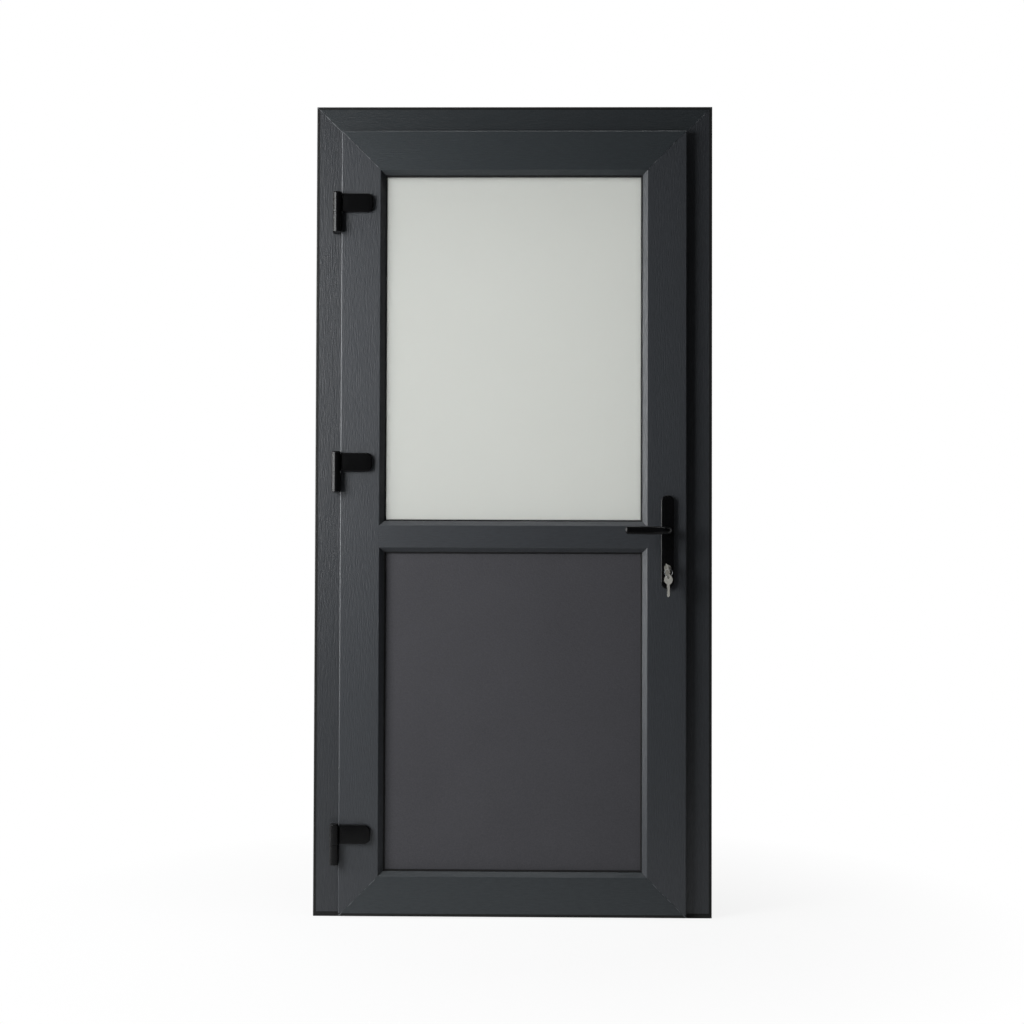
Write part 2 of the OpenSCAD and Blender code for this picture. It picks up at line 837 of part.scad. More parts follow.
module leaf_bottom_rail() {
    color(pvc_grey)
        difference() {
            profile_bar(-90, [0, leaf_front, leaf_bottom], 2 * leaf_x, leaf_reach)
                leaf_section();
            leaf_welds();
        }
}

module leaf_hinge_stile() {
    color(pvc_grey)
        difference() {
            profile_bar(0, [-leaf_x, leaf_front, leaf_mid_z], leaf_h, leaf_reach)
                leaf_section();
            leaf_welds();
            flag_screw_holes();
        }
}

module leaf_lock_stile() {
    color(pvc_grey)
        difference() {
            profile_bar(180, [leaf_x, leaf_front, leaf_mid_z], leaf_h, leaf_reach)
                leaf_section();
            leaf_welds();
            lock_cuts();
        }
}

// Middle rail, with its ends shaped to the stiles that it runs between
module leaf_middle_rail() {
    color(pvc_grey)
        difference() {
            translate([0, 0, mid_rail_z])
                rotate([0, -90, 0])
                    translate([0, leaf_front, 0])
                        linear_extrude(2 * rebate_x, center = true)
                            middle_section();
            for (turn = [0, 180])
                translate([turn == 0 ? -leaf_x : leaf_x, leaf_front, mid_rail_z])
                    rotate([0, turn, 0])
                        linear_extrude(4 * mid_half_reach, center = true)
                            leaf_outline();
        }
}

module leaf_steels() {
    trim = 2 * (leaf_steel[1][0] + steel_end_gap);
    color(steel_grey)
        difference() {
            union() {
                for (s = [0, 180])
                    translate([s == 0 ? -leaf_x : leaf_x, leaf_front, leaf_mid_z])
                        rotate([0, s, 0])
                            linear_extrude(leaf_h - trim, center = true)
                                steel_section(leaf_steel);
                for (s = [-90, 90])
                    translate([0, leaf_front, s == -90 ? leaf_bottom : leaf_top])
                        rotate([0, s, 0])
                            linear_extrude(2 * leaf_x - trim, center = true)
                                steel_section(leaf_steel);
                translate([0, leaf_front, mid_rail_z])
                    rotate([0, -90, 0])
                        linear_extrude(2 * (rebate_x - steel_end_gap), center = true)
                            steel_section(mid_steel);
            }
            lock_cuts();
            flag_screw_holes();
        }
}

module leaf_seal() {
    color(seal_black)
        profile_ring(leaf_x, [leaf_bottom, leaf_top], leaf_front + flange_t, leaf_overlap)
            mirror([0, 1])
                seal_section(leaf_overlap / 2);
}

// One pane of the sealed unit, at a distance behind the unit's front
module glass_pane(behind) {
    color(glass_tint)
        box(
            [-unit_x, unit_y + behind, glass_z[0] + packer_t],
            [unit_x, unit_y + behind + pane_t, glass_z[1] - packer_t]
        );
}

module outer_pane() {
    glass_pane(0);
}

module inner_pane() {
    glass_pane(pane_t + cavity_w);
}

// Hollow bar that keeps the panes apart, inside the sealant
module spacer_bar() {
    bar_wall = 0.8;
    color(steel_grey)
        profile_ring(
            unit_x - sealant_h, [glass_z[0] + packer_t + sealant_h, glass_z[1] - packer_t - sealant_h],
            unit_y + pane_t, spacer_h
        )
            difference() {
                square([spacer_h, cavity_w]);
                pane([bar_wall, bar_wall], [spacer_h - bar_wall, cavity_w - bar_wall]);
            }
}

module edge_sealant() {
    low = [-unit_x, glass_z[0] + packer_t];
    high = [unit_x, glass_z[1] - packer_t];
    depth = [sealant_h, sealant_h];
    color(seal_black)
        along_y(unit_y + pane_t, unit_y + pane_t + cavity_w)
            difference() {
                pane(low, high);
                pane(low + depth, high - depth);
            }
}

// One layer of the solid panel, at a distance behind the panel's front
module panel_layer(behind, t) {
    box(
        [-unit_x, unit_y + behind, panel_z[0] + packer_t],
        [unit_x, unit_y + behind + t, panel_z[1] - packer_t]
    );
}

module panel_outer_skin() {
    color(panel_grey)
        panel_layer(0, skin_t);
}

module panel_core() {
    color(foam_white)
        panel_layer(skin_t, unit_t - 2 * skin_t);
}

module panel_inner_skin() {
    color(panel_grey)
        panel_layer(unit_t - skin_t, skin_t);
}

// Hollow bead that holds the glass or the panel from the room side
module bead_section() {
    top_land = 3;
    foot_h = 8;
    bead_wall = 1.6;
    nose_r = 1.5;
    slope_n = [leaf_d - bead_v - top_land, rebate_h - foot_h];
    difference() {
        polygon([
            [0, bead_v], [rebate_h, bead_v], [rebate_h, bead_v + top_land],
            [foot_h, leaf_d], [0, leaf_d]
        ]);
        corner_cut(
            [rebate_h - nose_r, bead_v + top_land - nose_r * tan(atan2(slope_n[1], slope_n[0]) / 2)], nose_r,
            [1, 0], slope_n / norm(slope_n)
        );
        pane([bead_wall, bead_v + bead_wall], [foot_h - bead_wall, leaf_d - 2 * bead_wall]);
    }
}

module bead_set(zs) {
    color(pvc_grey)
        profile_ring(rebate_x, zs, leaf_front, rebate_h)
            bead_section();
}

module glass_beads() {
    bead_set(glass_z);
}

module panel_beads() {
    bead_set(panel_z);
}

// Outer gasket with a soft lip beside the glass, and the inner one behind the bead
module outer_gasket_section() {
    back_v = lip_v + gasket_out;
    lip_v0 = lip_v - 1.5;
    polygon([
        [gasket_root, lip_v], [rebate_h, lip_v], [rebate_h, lip_v0],
        [rebate_h + gasket_show / 2, lip_v0], [rebate_h + gasket_show, back_v], [gasket_root, back_v]
    ]);
}

module inner_gasket_section() {
    front_v = bead_v - gasket_in;
    polygon([
        [gasket_root, front_v], [rebate_h + gasket_show / 2, front_v],
        [rebate_h, bead_v], [gasket_root, bead_v]
    ]);
}

module gasket_set(zs) {
    reach = rebate_h + gasket_show;
    color(seal_black) {
        profile_ring(rebate_x, zs, leaf_front, reach)
            outer_gasket_section();
        profile_ring(rebate_x, zs, leaf_front, reach)
            inner_gasket_section();
    }
}

module glass_gaskets() {
    gasket_set(glass_z);
}

module panel_gaskets() {
    gasket_set(panel_z);
}

// Packers between the rebate's floor and the edges of the glass and the panel
module glazing_packers() {
    packer_len = 80;
    corner_in = 60;
    color(packer_blue)
        for (zs = [glass_z, panel_z], s = [-1, 1]) {
            for (z = [zs[0], zs[1] - packer_t])
                translate([s * (unit_x - corner_in) - packer_len / 2, unit_y, z])
                    cube([packer_len, unit_t, packer_t]);
            translate([s * (rebate_x - packer_t / 2), unit_y + unit_t / 2, (zs[0] + zs[1]) / 2])
                cube([packer_t, unit_t, packer_len], center = true);
        }
}

// Upper half of a hinge: its knuckle and the plate that is screwed to the leaf's face
module hinge_flag(z) {
    low = z + collar_t / 2;
    mid = z + flag_rise;
    color(fitting_black)
        difference() {
            union() {
                translate([pin_x, pin_y, low])
                    cylinder(d = knuckle_d, h = knuckle_h);
                translate([0, 0, mid])
                    along_y(leaf_front - flag_t, leaf_front)
                        flag_outline(pin_x, cover_t + plate_clear);
            }
            translate([pin_x, pin_y, low - spare])
                cylinder(d = bush_d + 2 * run, h = knuckle_h + 2 * spare);
            for (spot = flag_screw_spots)
                translate([pin_x + spot[0], 0, mid + spot[1]])
                    rod_y(flag_screw_d + 2 * seat, leaf_front - flag_t - spare, leaf_front + spare);
        }
}

module top_hinge_flag() {
    hinge_flag(hinge_zs[0]);
}

module middle_hinge_flag() {
    hinge_flag(hinge_zs[1]);
}

module bottom_hinge_flag() {
    hinge_flag(hinge_zs[2]);
}

// Collared bushes that the flags turn on
module hinge_bushes() {
    color(seal_black)
        for (z = hinge_zs)
            translate([pin_x, pin_y, z - collar_t / 2])
                difference() {
                    union() {
                        cylinder(d = knuckle_d - 2, h = collar_t);
                        cylinder(d = bush_d, h = collar_t + knuckle_h - cap_h);
                    }
                    translate([0, 0, -spare])
                        cylinder(d = pin_d + 2 * run, h = collar_t + knuckle_h + spare);
                }
}

// Outline of a flag or its cover, shrunk by a margin: square at the knuckle and rounded at its free end
module flag_outline(start_x, margin) {
    end_r = flag_h / 4 - margin;
    half_h = flag_h / 2 - margin;
    end_x = cover_end_x - margin;
    difference() {
        pane([start_x, -half_h], [end_x, half_h]);
        for (s = [-1, 1])
            corner_cut([end_x - end_r, s * (half_h - end_r)], end_r, [1, 0], [0, s]);
    }
}

// Hollow covers that snap over the flags' plates and screws
module hinge_covers() {
    edge = 2.5;
    color(fitting_black)
        for (z = hinge_zs)
            translate([0, 0, z + flag_rise])
                difference() {
                    hull() {
                        for (drop = [[edge, 0], [edge / 4, edge / 4], [0, edge]])
                            along_y(leaf_front - cover_depth + drop[0], leaf_front)
                                flag_outline(cover_x + drop[1], drop[1]);
                    }
                    along_y(leaf_front - cover_depth + cover_t, leaf_front + spare)
                        flag_outline(cover_x + cover_t, cover_t);
                    box(
                        [cover_x - spare, leaf_front - flag_t - plate_clear, -plate_half_h - plate_clear],
                        [cover_x + cover_t + spare, leaf_front + spare, plate_half_h + plate_clear]
                    );
                }
}

// Domed caps that close the upper knuckles
module hinge_caps() {
    dome_r = 3;
    color(fitting_black)
        for (z = hinge_zs)
            translate([pin_x, pin_y, z + collar_t / 2 + knuckle_h])
                rotate_extrude()
                    difference() {
                        union() {
                            square([knuckle_d / 2, cap_h]);
                            translate([0, -cap_h + collar_t + seat])
                                square([bush_d / 2, cap_h]);
                        }
                        corner_cut([knuckle_d / 2 - dome_r, cap_h - dome_r], dome_r, [1, 0], [0, 1]);
                    }
}

// Pan-head screws that hold the flags to the leaf
module hinge_flag_screws() {
    head_h = 2.4;
    color(steel_grey)
        for (z = hinge_zs, spot = flag_screw_spots)
            translate([pin_x + spot[0], 0, z + flag_rise + spot[1]]) {
                rod_y(2 * flag_screw_d, leaf_front - flag_t - head_h, leaf_front - flag_t);
                rod_y(flag_screw_d, leaf_front - flag_t - head_h / 2, leaf_front + flag_screw_len - spare);
            }
}

// Long plate with round ends and rounded edges: its back on y = 0 and its face at its thickness
module backplate_blank() {
    straight = plate_h - plate_w;
    module half_section() {
        difference() {
            square([plate_w / 2, plate_t]);
            corner_cut([plate_w / 2 - plate_r, plate_t - plate_r], plate_r, [1, 0], [0, 1]);
        }
    }
    linear_extrude(straight, center = true)
        for (s = [0, 1])
            mirror([s, 0])
                half_section();
    for (s = [-1, 1])
        translate([0, 0, s * straight / 2])
            rotate([-90, 0, 0])
                rotate([0, 0, s > 0 ? 180 : 0])
                    rotate_extrude(angle = 180)
                        half_section();
}

// Bores through a backplate for the lever's neck and the cylinder
module backplate_bores(y0, y1) {
    translate([lock_x, 0, lever_z])
        rod_y(neck_d + 4 * run, y0, y1);
    translate([lock_x, 0, cylinder_z])
        along_y(y0, y1)
            cylinder_outline(seat);
}

module outer_backplate() {
    boss_depth = plate_t - 3;
    color(fitting_black)
        difference() {
            translate([lock_x, leaf_front, plate_mid_z])
                mirror([0, 1, 0])
                    backplate_blank();
            backplate_bores(leaf_front - plate_t - spare, leaf_front + spare);
            for (z = plate_screw_zs)
                translate([lock_x, 0, z])
                    rod_y(plate_screw_d + 2 * seat, leaf_front - boss_depth, leaf_front + spare);
        }
}

module inner_backplate() {
    color(fitting_black)
        difference() {
            translate([lock_x, leaf_back, plate_mid_z])
                backplate_blank();
            backplate_bores(leaf_back - spare, leaf_back + plate_t + spare);
            for (z = plate_screw_zs)
                translate([lock_x, leaf_back + plate_t, z])
                    rotate([-90, 0, 0])
                        sunk_hole(plate_screw_d, plate_t + spare);
        }
}

// Screws that draw the two backplates together through the stile
module handle_screws() {
    tip_y = leaf_front - plate_t + 4;
    color(steel_grey)
        for (z = plate_screw_zs)
            translate([lock_x, leaf_back + plate_t, z])
                rotate([-90, 0, 0])
                    sunk_screw(plate_screw_d, leaf_back + plate_t - tip_y);
}

// Lever in its own frame: the axis along Y, its foot in the backplate and the grip towards -X
module lever_body() {
    tip_r = grip_t * 0.4;
    difference() {
        union() {
            rod_y(neck_d, -neck_in, lever_reach - bend_r);
            translate([-bend_r, lever_reach - bend_r, 0])
                rotate_extrude(angle = 90)
                    translate([bend_r, 0])
                        circle(d = neck_d);
            hull() {
                translate([-bend_r, lever_reach, 0])
                    rotate([0, -90, 0])
                        cylinder(d = neck_d, h = 1, $fn = 32);
                translate([-lever_len / 2, lever_reach, 0])
                    grip_slice(grip_w, grip_t);
                translate([-lever_len + tip_r, lever_reach, 0])
                    grip_slice(grip_w * 0.94, grip_t * 0.9);
                translate([-lever_len + 1, lever_reach, 0])
                    grip_slice(grip_w * 0.7, grip_t * 0.45);
            }
        }
        translate([-spindle_w / 2 - run, -neck_in - spare, -spindle_w / 2 - run])
            cube([spindle_w + 2 * run, neck_in + spindle_in + spare, spindle_w + 2 * run]);
    }
}

// Thin slice of the grip with round top and bottom edges
module grip_slice(w, t) {
    rotate([0, -90, 0])
        linear_extrude(1)
            for (s = [-1, 1])
                translate([s * (w - t) / 2, 0])
                    circle(d = t, $fn = 32);
}

module outer_lever() {
    color(fitting_black)
        translate([lock_x, leaf_front - plate_t, lever_z])
            mirror([0, 1, 0])
                lever_body();
}

module inner_lever() {
    color(fitting_black)
        translate([lock_x, leaf_back + plate_t, lever_z])
            lever_body();
}

module spindle() {
    half = spindle_w / 2;
    color(steel_grey)
        box(
            [lock_x - half, leaf_front - plate_t - spindle_in + seat, lever_z - half],
            [lock_x + half, leaf_back + plate_t + spindle_in - seat, lever_z + half]
        );
}

// Follower that the spindle turns, carried in the sides of the lock case
module follower() {
    hole = spindle_w + 2 * run;
    inner_t = case_t - 2 * case_wall - 2 * loose;
    color(steel_grey)
        translate([lock_x, lock_y, lever_z])
            difference() {
                union() {
                    rod_y(follower_hub_d, -case_t / 2, case_t / 2);
                    rod_y(follower_d, -inner_t / 2, inner_t / 2);
                }
                cube([hole, case_t + 2 * spare, hole], center = true);
            }
}

// Folded steel box of the lock, open towards its faceplate
module lock_case() {
    side = case_t / 2;
    color(steel_grey)
        difference() {
            box([case_back, lock_y - side, case_bottom], [case_x, lock_y + side, case_top]);
            box(
                [case_back + case_wall, lock_y - side + case_wall, case_bottom + case_wall],
                [case_x + spare, lock_y + side - case_wall, case_top - case_wall]
            );
            translate([lock_x, lock_y, lever_z])
                rod_y(follower_hub_d + 2 * run, -case_t, case_t);
            translate([lock_x, lock_y, cylinder_z])
                along_y(-case_t, case_t)
                    cylinder_outline(pocket_fit);
        }
}

module lock_faceplate() {
    mid_z = faceplate_z + faceplate_h / 2;
    color(steel_grey)
        difference() {
            translate([0, lock_y, mid_z])
                along_x(case_x, body_x)
                    round_pane(faceplate_w, faceplate_h, faceplate_w / 4);
            bolt_windows(case_x - spare, body_x + spare, pocket_fit);
            for (z = face_screw_zs())
                translate([body_x, lock_y, z])
                    rotate([0, 90, 0])
                        sunk_hole(face_screw_d, faceplate_t + spare);
            translate([body_x, lock_y, cylinder_screw_z])
                rotate([0, 90, 0])
                    sunk_hole(cylinder_screw_d, faceplate_t + spare);
        }
}

module faceplate_screws() {
    color(steel_grey)
        for (z = face_screw_zs())
            translate([body_x, lock_y, z])
                rotate([0, 90, 0])
                    sunk_screw(face_screw_d, face_screw_len);
}

// Body of the profile cylinder: bored for the two plugs and cut away in the middle for the cam
module cylinder_body() {
    color(nickel)
        translate([lock_x, 0, cylinder_z])
            difference() {
                along_y(cylinder_front, cylinder_back)
                    cylinder_outline();
                rod_y(plug_d + 2 * run, cylinder_front - spare, cylinder_back + spare);
                box(
                    [-far, lock_y - cam_slot / 2, -cam_r - pocket_fit],
                    [far, lock_y + cam_slot / 2, cylinder_d]
                );
                translate([0, lock_y, cylinder_screw_z - cylinder_z])
                    rod_x(cylinder_screw_d + 2 * seat, -far, far);
            }
}

module cylinder_screw() {
    color(steel_grey)
        translate([body_x, lock_y, cylinder_screw_z])
            rotate([0, 90, 0])
                sunk_screw(cylinder_screw_d, backset + cylinder_leg / 2);
}

// Slot for a key's blade from the outer end of a plug
module key_slot(y0, y1) {
    half_t = key_t / 2 + seat;
    half_w = blade_w / 2 + seat;
    box([-half_t, y0, -half_w], [half_t, y1, half_w]);
}

module inner_plug() {
    color(nickel)
        translate([lock_x, 0, cylinder_z])
            difference() {
                rod_y(plug_d, lock_y + cam_slot / 2, cylinder_back);
                key_slot(cylinder_back - blade_len, cylinder_back + spare);
            }
}

module cylinder_plug() {
    color(nickel)
        translate([lock_x, 0, cylinder_z])
            rotate([0, -key_tilt, 0])
                difference() {
                    rod_y(plug_d, cylinder_front, lock_y - cam_slot / 2);
                    key_slot(cylinder_front - spare, cylinder_front + blade_len + seat);
                }
}

// Cam with its nose that throws the dead bolt
module cylinder_cam() {
    nose_w = 7;
    color(nickel)
        translate([lock_x, lock_y, cylinder_z])
            rotate([0, -key_tilt, 0])
                along_y(-cam_w / 2, cam_w / 2) {
                    circle(d = plug_d);
                    intersection() {
                        circle(r = cam_r);
                        pane([-nose_w / 2, 0], [nose_w / 2, cam_r + spare]);
                    }
                }
}

// Outline of a key: the bow's centre at the origin and the blade towards +u, with its cuts on one edge
module key_outline(blade) {
    cuts = [0.8, 2.2, 1.4, 2.6, 1.0];
    pitch = 4;
    tip_cut = 3;
    tip = bow_r + blade;
    half = blade_w / 2;
    difference() {
        union() {
            circle(bow_r);
            polygon([
                [0, -half], [tip - tip_cut, -half], [tip, tip_cut - half],
                [tip, half - tip_cut], [tip - tip_cut, half], [0, half]
            ]);
        }
        translate([-bow_hole_off, 0])
            circle(bow_hole_r);
        for (i = [0:len(cuts) - 1])
            translate([tip - 5 - i * pitch, half])
                polygon([[-pitch / 2, spare], [-0.5, -cuts[i]], [0.5, -cuts[i]], [pitch / 2, spare]]);
    }
}

// Key in the cylinder: its blade in the plug and its bow standing out in front, tilted as it was left
module key() {
    color(nickel)
        translate([lock_x, bow_y, cylinder_z])
            rotate([0, -key_tilt, 0])
                rotate([90, 0, 90])
                    linear_extrude(key_t, center = true)
                        key_outline(blade_len + key_y - bow_y - bow_r);
}

// Split ring hanging from the key's bow
module key_ring() {
    color(steel_grey)
        translate(ring_top - [0, 0, ring_r])
            rotate([90, 0, 0])
                rotate_extrude()
                    translate([ring_r, 0])
                        circle(d = wire_d, $fn = 24);
}

// Spare key that hangs from the ring with its flat turned part way to the front
module spare_key() {
    hole_z = ring_top[2] - 2 * ring_r - spare_drop;
    color(nickel)
        translate([ring_top[0], ring_top[1], hole_z - bow_hole_off])
            rotate([0, 0, spare_turn])
                rotate([0, 90, 0])
                    linear_extrude(key_t, center = true)
                        key_outline(spare_blade_len);
}

// Sprung latch with its slope towards the room
module latch_bolt() {
    half = bolt_t / 2;
    tip = body_x + latch_throw;
    root = tip - latch_len;
    color(steel_grey)
        translate([0, lock_y, latch_z])
            linear_extrude(latch_h, center = true)
                polygon([[root, -half], [tip, -half], [tip, 2 - half], [body_x + 1, half], [root, half]]);
}

module dead_bolt() {
    end_r = 1.5;
    color(steel_grey)
        translate([body_x - dead_bolt_len / 2, lock_y, dead_bolt_z])
            linear_extrude(dead_bolt_h, center = true)
                round_pane(dead_bolt_len, bolt_t, end_r);
}

frame_head();
frame_hinge_jamb();
frame_lock_jamb();
frame_steels();
threshold();
frame_seal();
strike_plate();
strike_screws();
top_hinge_frame_half();
middle_hinge_frame_half();
bottom_hinge_frame_half();
hinge_pins();
leaf_top_rail();
leaf_bottom_rail();
leaf_hinge_stile();
leaf_lock_stile();
leaf_middle_rail();
leaf_steels();
leaf_seal();
outer_pane();
inner_pane();
spacer_bar();
edge_sealant();
panel_outer_skin();
panel_core();
panel_inner_skin();
glass_beads();
panel_beads();
glass_gaskets();
panel_gaskets();
glazing_packers();
top_hinge_flag();
middle_hinge_flag();
bottom_hinge_flag();
hinge_bushes();
hinge_covers();
hinge_caps();
hinge_flag_screws();
outer_backplate();
inner_backplate();
handle_screws();
lock_case();
lock_faceplate();
faceplate_screws();
cylinder_body();
cylinder_screw();
inner_plug();
outer_lever();
inner_lever();
spindle();
follower();
latch_bolt();
dead_bolt();
cylinder_plug();
cylinder_cam();
key();
key_ring();
spare_key();
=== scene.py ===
# %% [markdown]
# # Dressing a half-glazed plastic door
#
# The door set comes in as finished solids: a frame, a leaf with frosted glass over a solid panel,
# hinges, a lock and a pair of levers. This lesson gives every surface its finish, remakes the few
# pieces whose charm is in a smooth surface, and photographs the door from the front. The solids
# stay where they are; Blender only dresses them.

# %% Load the door as a fixed frame
import json
import math

import bpy
import numpy as np
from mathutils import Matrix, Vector


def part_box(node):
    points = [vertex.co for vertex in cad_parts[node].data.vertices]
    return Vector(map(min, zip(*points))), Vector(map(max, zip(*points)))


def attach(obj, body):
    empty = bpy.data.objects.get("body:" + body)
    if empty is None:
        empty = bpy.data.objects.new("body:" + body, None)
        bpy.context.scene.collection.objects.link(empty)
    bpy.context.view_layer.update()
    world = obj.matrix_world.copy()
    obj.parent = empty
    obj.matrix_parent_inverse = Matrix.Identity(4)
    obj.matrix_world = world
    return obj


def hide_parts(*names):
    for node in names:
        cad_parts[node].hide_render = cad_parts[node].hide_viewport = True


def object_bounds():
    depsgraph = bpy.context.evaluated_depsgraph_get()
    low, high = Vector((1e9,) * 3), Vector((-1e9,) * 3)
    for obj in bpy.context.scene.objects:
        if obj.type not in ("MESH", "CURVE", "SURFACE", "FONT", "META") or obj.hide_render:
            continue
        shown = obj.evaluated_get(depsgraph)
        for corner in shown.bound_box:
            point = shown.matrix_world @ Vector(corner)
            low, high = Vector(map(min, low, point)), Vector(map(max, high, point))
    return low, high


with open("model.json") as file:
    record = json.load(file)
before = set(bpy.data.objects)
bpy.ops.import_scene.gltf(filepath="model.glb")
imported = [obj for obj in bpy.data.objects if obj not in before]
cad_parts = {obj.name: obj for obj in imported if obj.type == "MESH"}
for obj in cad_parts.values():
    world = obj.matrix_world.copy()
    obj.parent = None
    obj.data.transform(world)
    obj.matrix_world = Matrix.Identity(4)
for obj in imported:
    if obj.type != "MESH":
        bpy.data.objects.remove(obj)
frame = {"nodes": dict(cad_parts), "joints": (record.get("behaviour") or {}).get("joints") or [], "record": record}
cad_low, cad_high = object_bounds()
nodes = frame["nodes"]
joints = {joint["name"]: joint for joint in frame["joints"]}
print("door set", [round(high - low, 3) for low, high in zip(cad_low, cad_high)], "m,", len(nodes), "nodes")

# %% [markdown]
# ## The camera
#
# The view is almost square to the door, from a little below the middle. One measured length is
# enough to set the lens: at the frame's front face one pixel of the picture spans a known number of
# millimetres. A longer lens from further away would flatten the leaf against the frame, so the
# distance is kept at about four metres.

# %% Place the camera
IMAGE_PIXELS = 1024
METRES_PER_PIXEL = 0.002467
CAMERA_DISTANCE = 4.0
CAMERA_HEIGHT = 0.915
AIM_HEIGHT = 0.995
CAMERA_SIDE = 0.055
AIM_SIDE = -0.003
CAMERA_ROLL = math.radians(0.18)

front_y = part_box("frame_head")[0].y
camera_data = bpy.data.cameras.new("front_camera")
camera = bpy.data.objects.new("front_camera", camera_data)
bpy.context.scene.collection.objects.link(camera)
camera_data.lens = camera_data.sensor_width * CAMERA_DISTANCE / (IMAGE_PIXELS * METRES_PER_PIXEL)
camera.location = (CAMERA_SIDE, front_y - CAMERA_DISTANCE, CAMERA_HEIGHT)
aim = Vector((AIM_SIDE, front_y, AIM_HEIGHT)) - camera.location
camera.rotation_euler = aim.to_track_quat("-Z", "Y").to_euler()
camera.rotation_euler.rotate_axis("Z", CAMERA_ROLL)
bpy.context.scene.camera = camera
print("lens", round(camera_data.lens, 2), "mm")

# %% [markdown]
# ## Building node materials
#
# A finish is a small graph of nodes that ends in one Principled shader. Drawing that graph by hand
# would mean dozens of links to drag for every finish, so it is written in code. One helper starts a
# material, and another adds a node and fills its inputs. An input takes either a plain value or the
# output socket of another node, and then the two are linked.


# %% Start a material and add its nodes
def new_finish(name):
    """A material with an empty graph round its Principled shader, and the object's own coordinates."""
    finish = bpy.data.materials.new(name)
    finish.use_nodes = True
    tree = finish.node_tree
    place = add_node(tree, "ShaderNodeTexCoord").outputs["Object"]
    return finish, tree, tree.nodes["Principled BSDF"], place


def add_node(tree, kind, inputs=None, **settings):
    """One node with its settings, and each input either set to a value or linked to a socket."""
    made = tree.nodes.new(kind)
    for key, value in settings.items():
        setattr(made, key, value)
    fill(tree, made, inputs or {})
    return made


def fill(tree, target, inputs):
    """Set or link the inputs of a node by name or number."""
    for key, value in inputs.items():
        if isinstance(value, bpy.types.NodeSocket):
            tree.links.new(value, target.inputs[key])
        else:
            target.inputs[key].default_value = value


print("node helpers:", ", ".join(helper.__name__ for helper in (new_finish, add_node, fill)))

# %% [markdown]
# ## Patterns, ranges and blends
#
# Almost every finish here is a pattern between 0 and 1 that is carried to another range and then
# used as a tone, a roughness or a height. Each of those steps is one node, so each gets a helper
# with a plain name, and a finish reads like a recipe.


# %% Patterns, ranges and blends
def stretched(tree, place, scale):
    """Coordinates multiplied by a scale along each axis, in cells per metre."""
    return add_node(tree, "ShaderNodeMapping", {"Vector": place, "Scale": scale}).outputs["Vector"]


def noise(tree, place, scale, detail=4.0, roughness=0.55):
    """Cloudy noise between 0 and 1, with a number of cells per metre or an already stretched place."""
    inputs = {"Vector": place, "Scale": scale, "Detail": detail, "Roughness": roughness}
    return add_node(tree, "ShaderNodeTexNoise", inputs).outputs["Fac"]


def remap(tree, value, low, high, to_low, to_high):
    """A value carried linearly from one range to another and clamped there."""
    inputs = {"Value": value, "From Min": low, "From Max": high, "To Min": to_low, "To Max": to_high}
    return add_node(tree, "ShaderNodeMapRange", inputs).outputs["Result"]


def between(tree, share, first, second):
    """A colour part way between two, each of them three plain numbers or a socket."""
    ends = [end if isinstance(end, bpy.types.NodeSocket) else (*end, 1.0) for end in (first, second)]
    inputs = {0: share, 6: ends[0], 7: ends[1]}
    return add_node(tree, "ShaderNodeMix", inputs, data_type="RGBA").outputs[2]


def blended(tree, share, first, second):
    """A number part way between two numbers or sockets."""
    return add_node(tree, "ShaderNodeMix", {0: share, 2: first, 3: second}).outputs[0]


def bump(tree, height, strength, distance):
    """A surface normal that is tilted by a height, whose full rise is a distance in metres."""
    inputs = {"Height": height, "Strength": strength, "Distance": distance}
    return add_node(tree, "ShaderNodeBump", inputs).outputs["Normal"]


def math_node(tree, operation, *values):
    """One sum, product, larger value or the like of plain values or sockets."""
    return add_node(tree, "ShaderNodeMath", dict(enumerate(values)), operation=operation).outputs[0]


def shade(colour, factor):
    """The same hue, lighter or darker."""
    return tuple(channel * factor for channel in colour)


PATTERN_HELPERS = (stretched, noise, remap, between, blended, bump, math_node, shade)
print("pattern helpers:", ", ".join(helper.__name__ for helper in PATTERN_HELPERS))

# %% [markdown]
# ## The grey foil on the profiles
#
# The bars are dark plastic, wrapped in a thin anthracite foil that is embossed like wood grain. The
# grain runs along each bar, so upright bars and rails need the same foil turned through a right
# angle. Noise stretched about eight times along one axis gives the grain, a finer noise gives the
# pebble between, and both tilt the surface a little. A photo of real foil would give no more from
# this distance, and would not fit bars of another length. A band a few millimetres wide along the
# door set's outer edge is darker and less shiny. The outer rails take a darker, greener copy of the
# same foil and the frame a darker one, so the head is both: painted shade, for the light that falls
# on them; the foil itself is one.


# %% Foil with its grain along one axis
FOIL_COLOUR = (0.0305, 0.0335, 0.038)
# Painted shade: the outer rails and the head are darker and greener than the middle rail, only for the light that
# falls on them.
RAIL_SHADED_COLOUR = (0.0234, 0.0284, 0.0316)
# Painted shade: the frame's bars are darker than the leaf's, only for the light that falls on them.
FRAME_PAINTED_SHADE = 0.77
# A darker, less shiny band a few millimetres wide runs along the door set's outer edge.
EDGE_BAND_COLOUR = (0.0165, 0.0168, 0.0165)
EDGE_BAND_WIDTH = 0.0072
EDGE_BAND_FADE = 0.0006
GRAIN_ACROSS = 380.0
GRAIN_ALONG = 45.0
FOIL_PEBBLE = 1100.0
FOIL_CLOUD = 5.0
PEBBLE_SHARE = 0.35
CLOUD_SHARE = 0.3
FOIL_TONES = (0.82, 1.2)
FOIL_GLOSS = (0.48, 0.36)
FOIL_SHINE, EDGE_BAND_SHINE = 0.5, 0.12
FOIL_RELIEF = 0.0004
ALONG_X, ALONG_Z = 0, 2


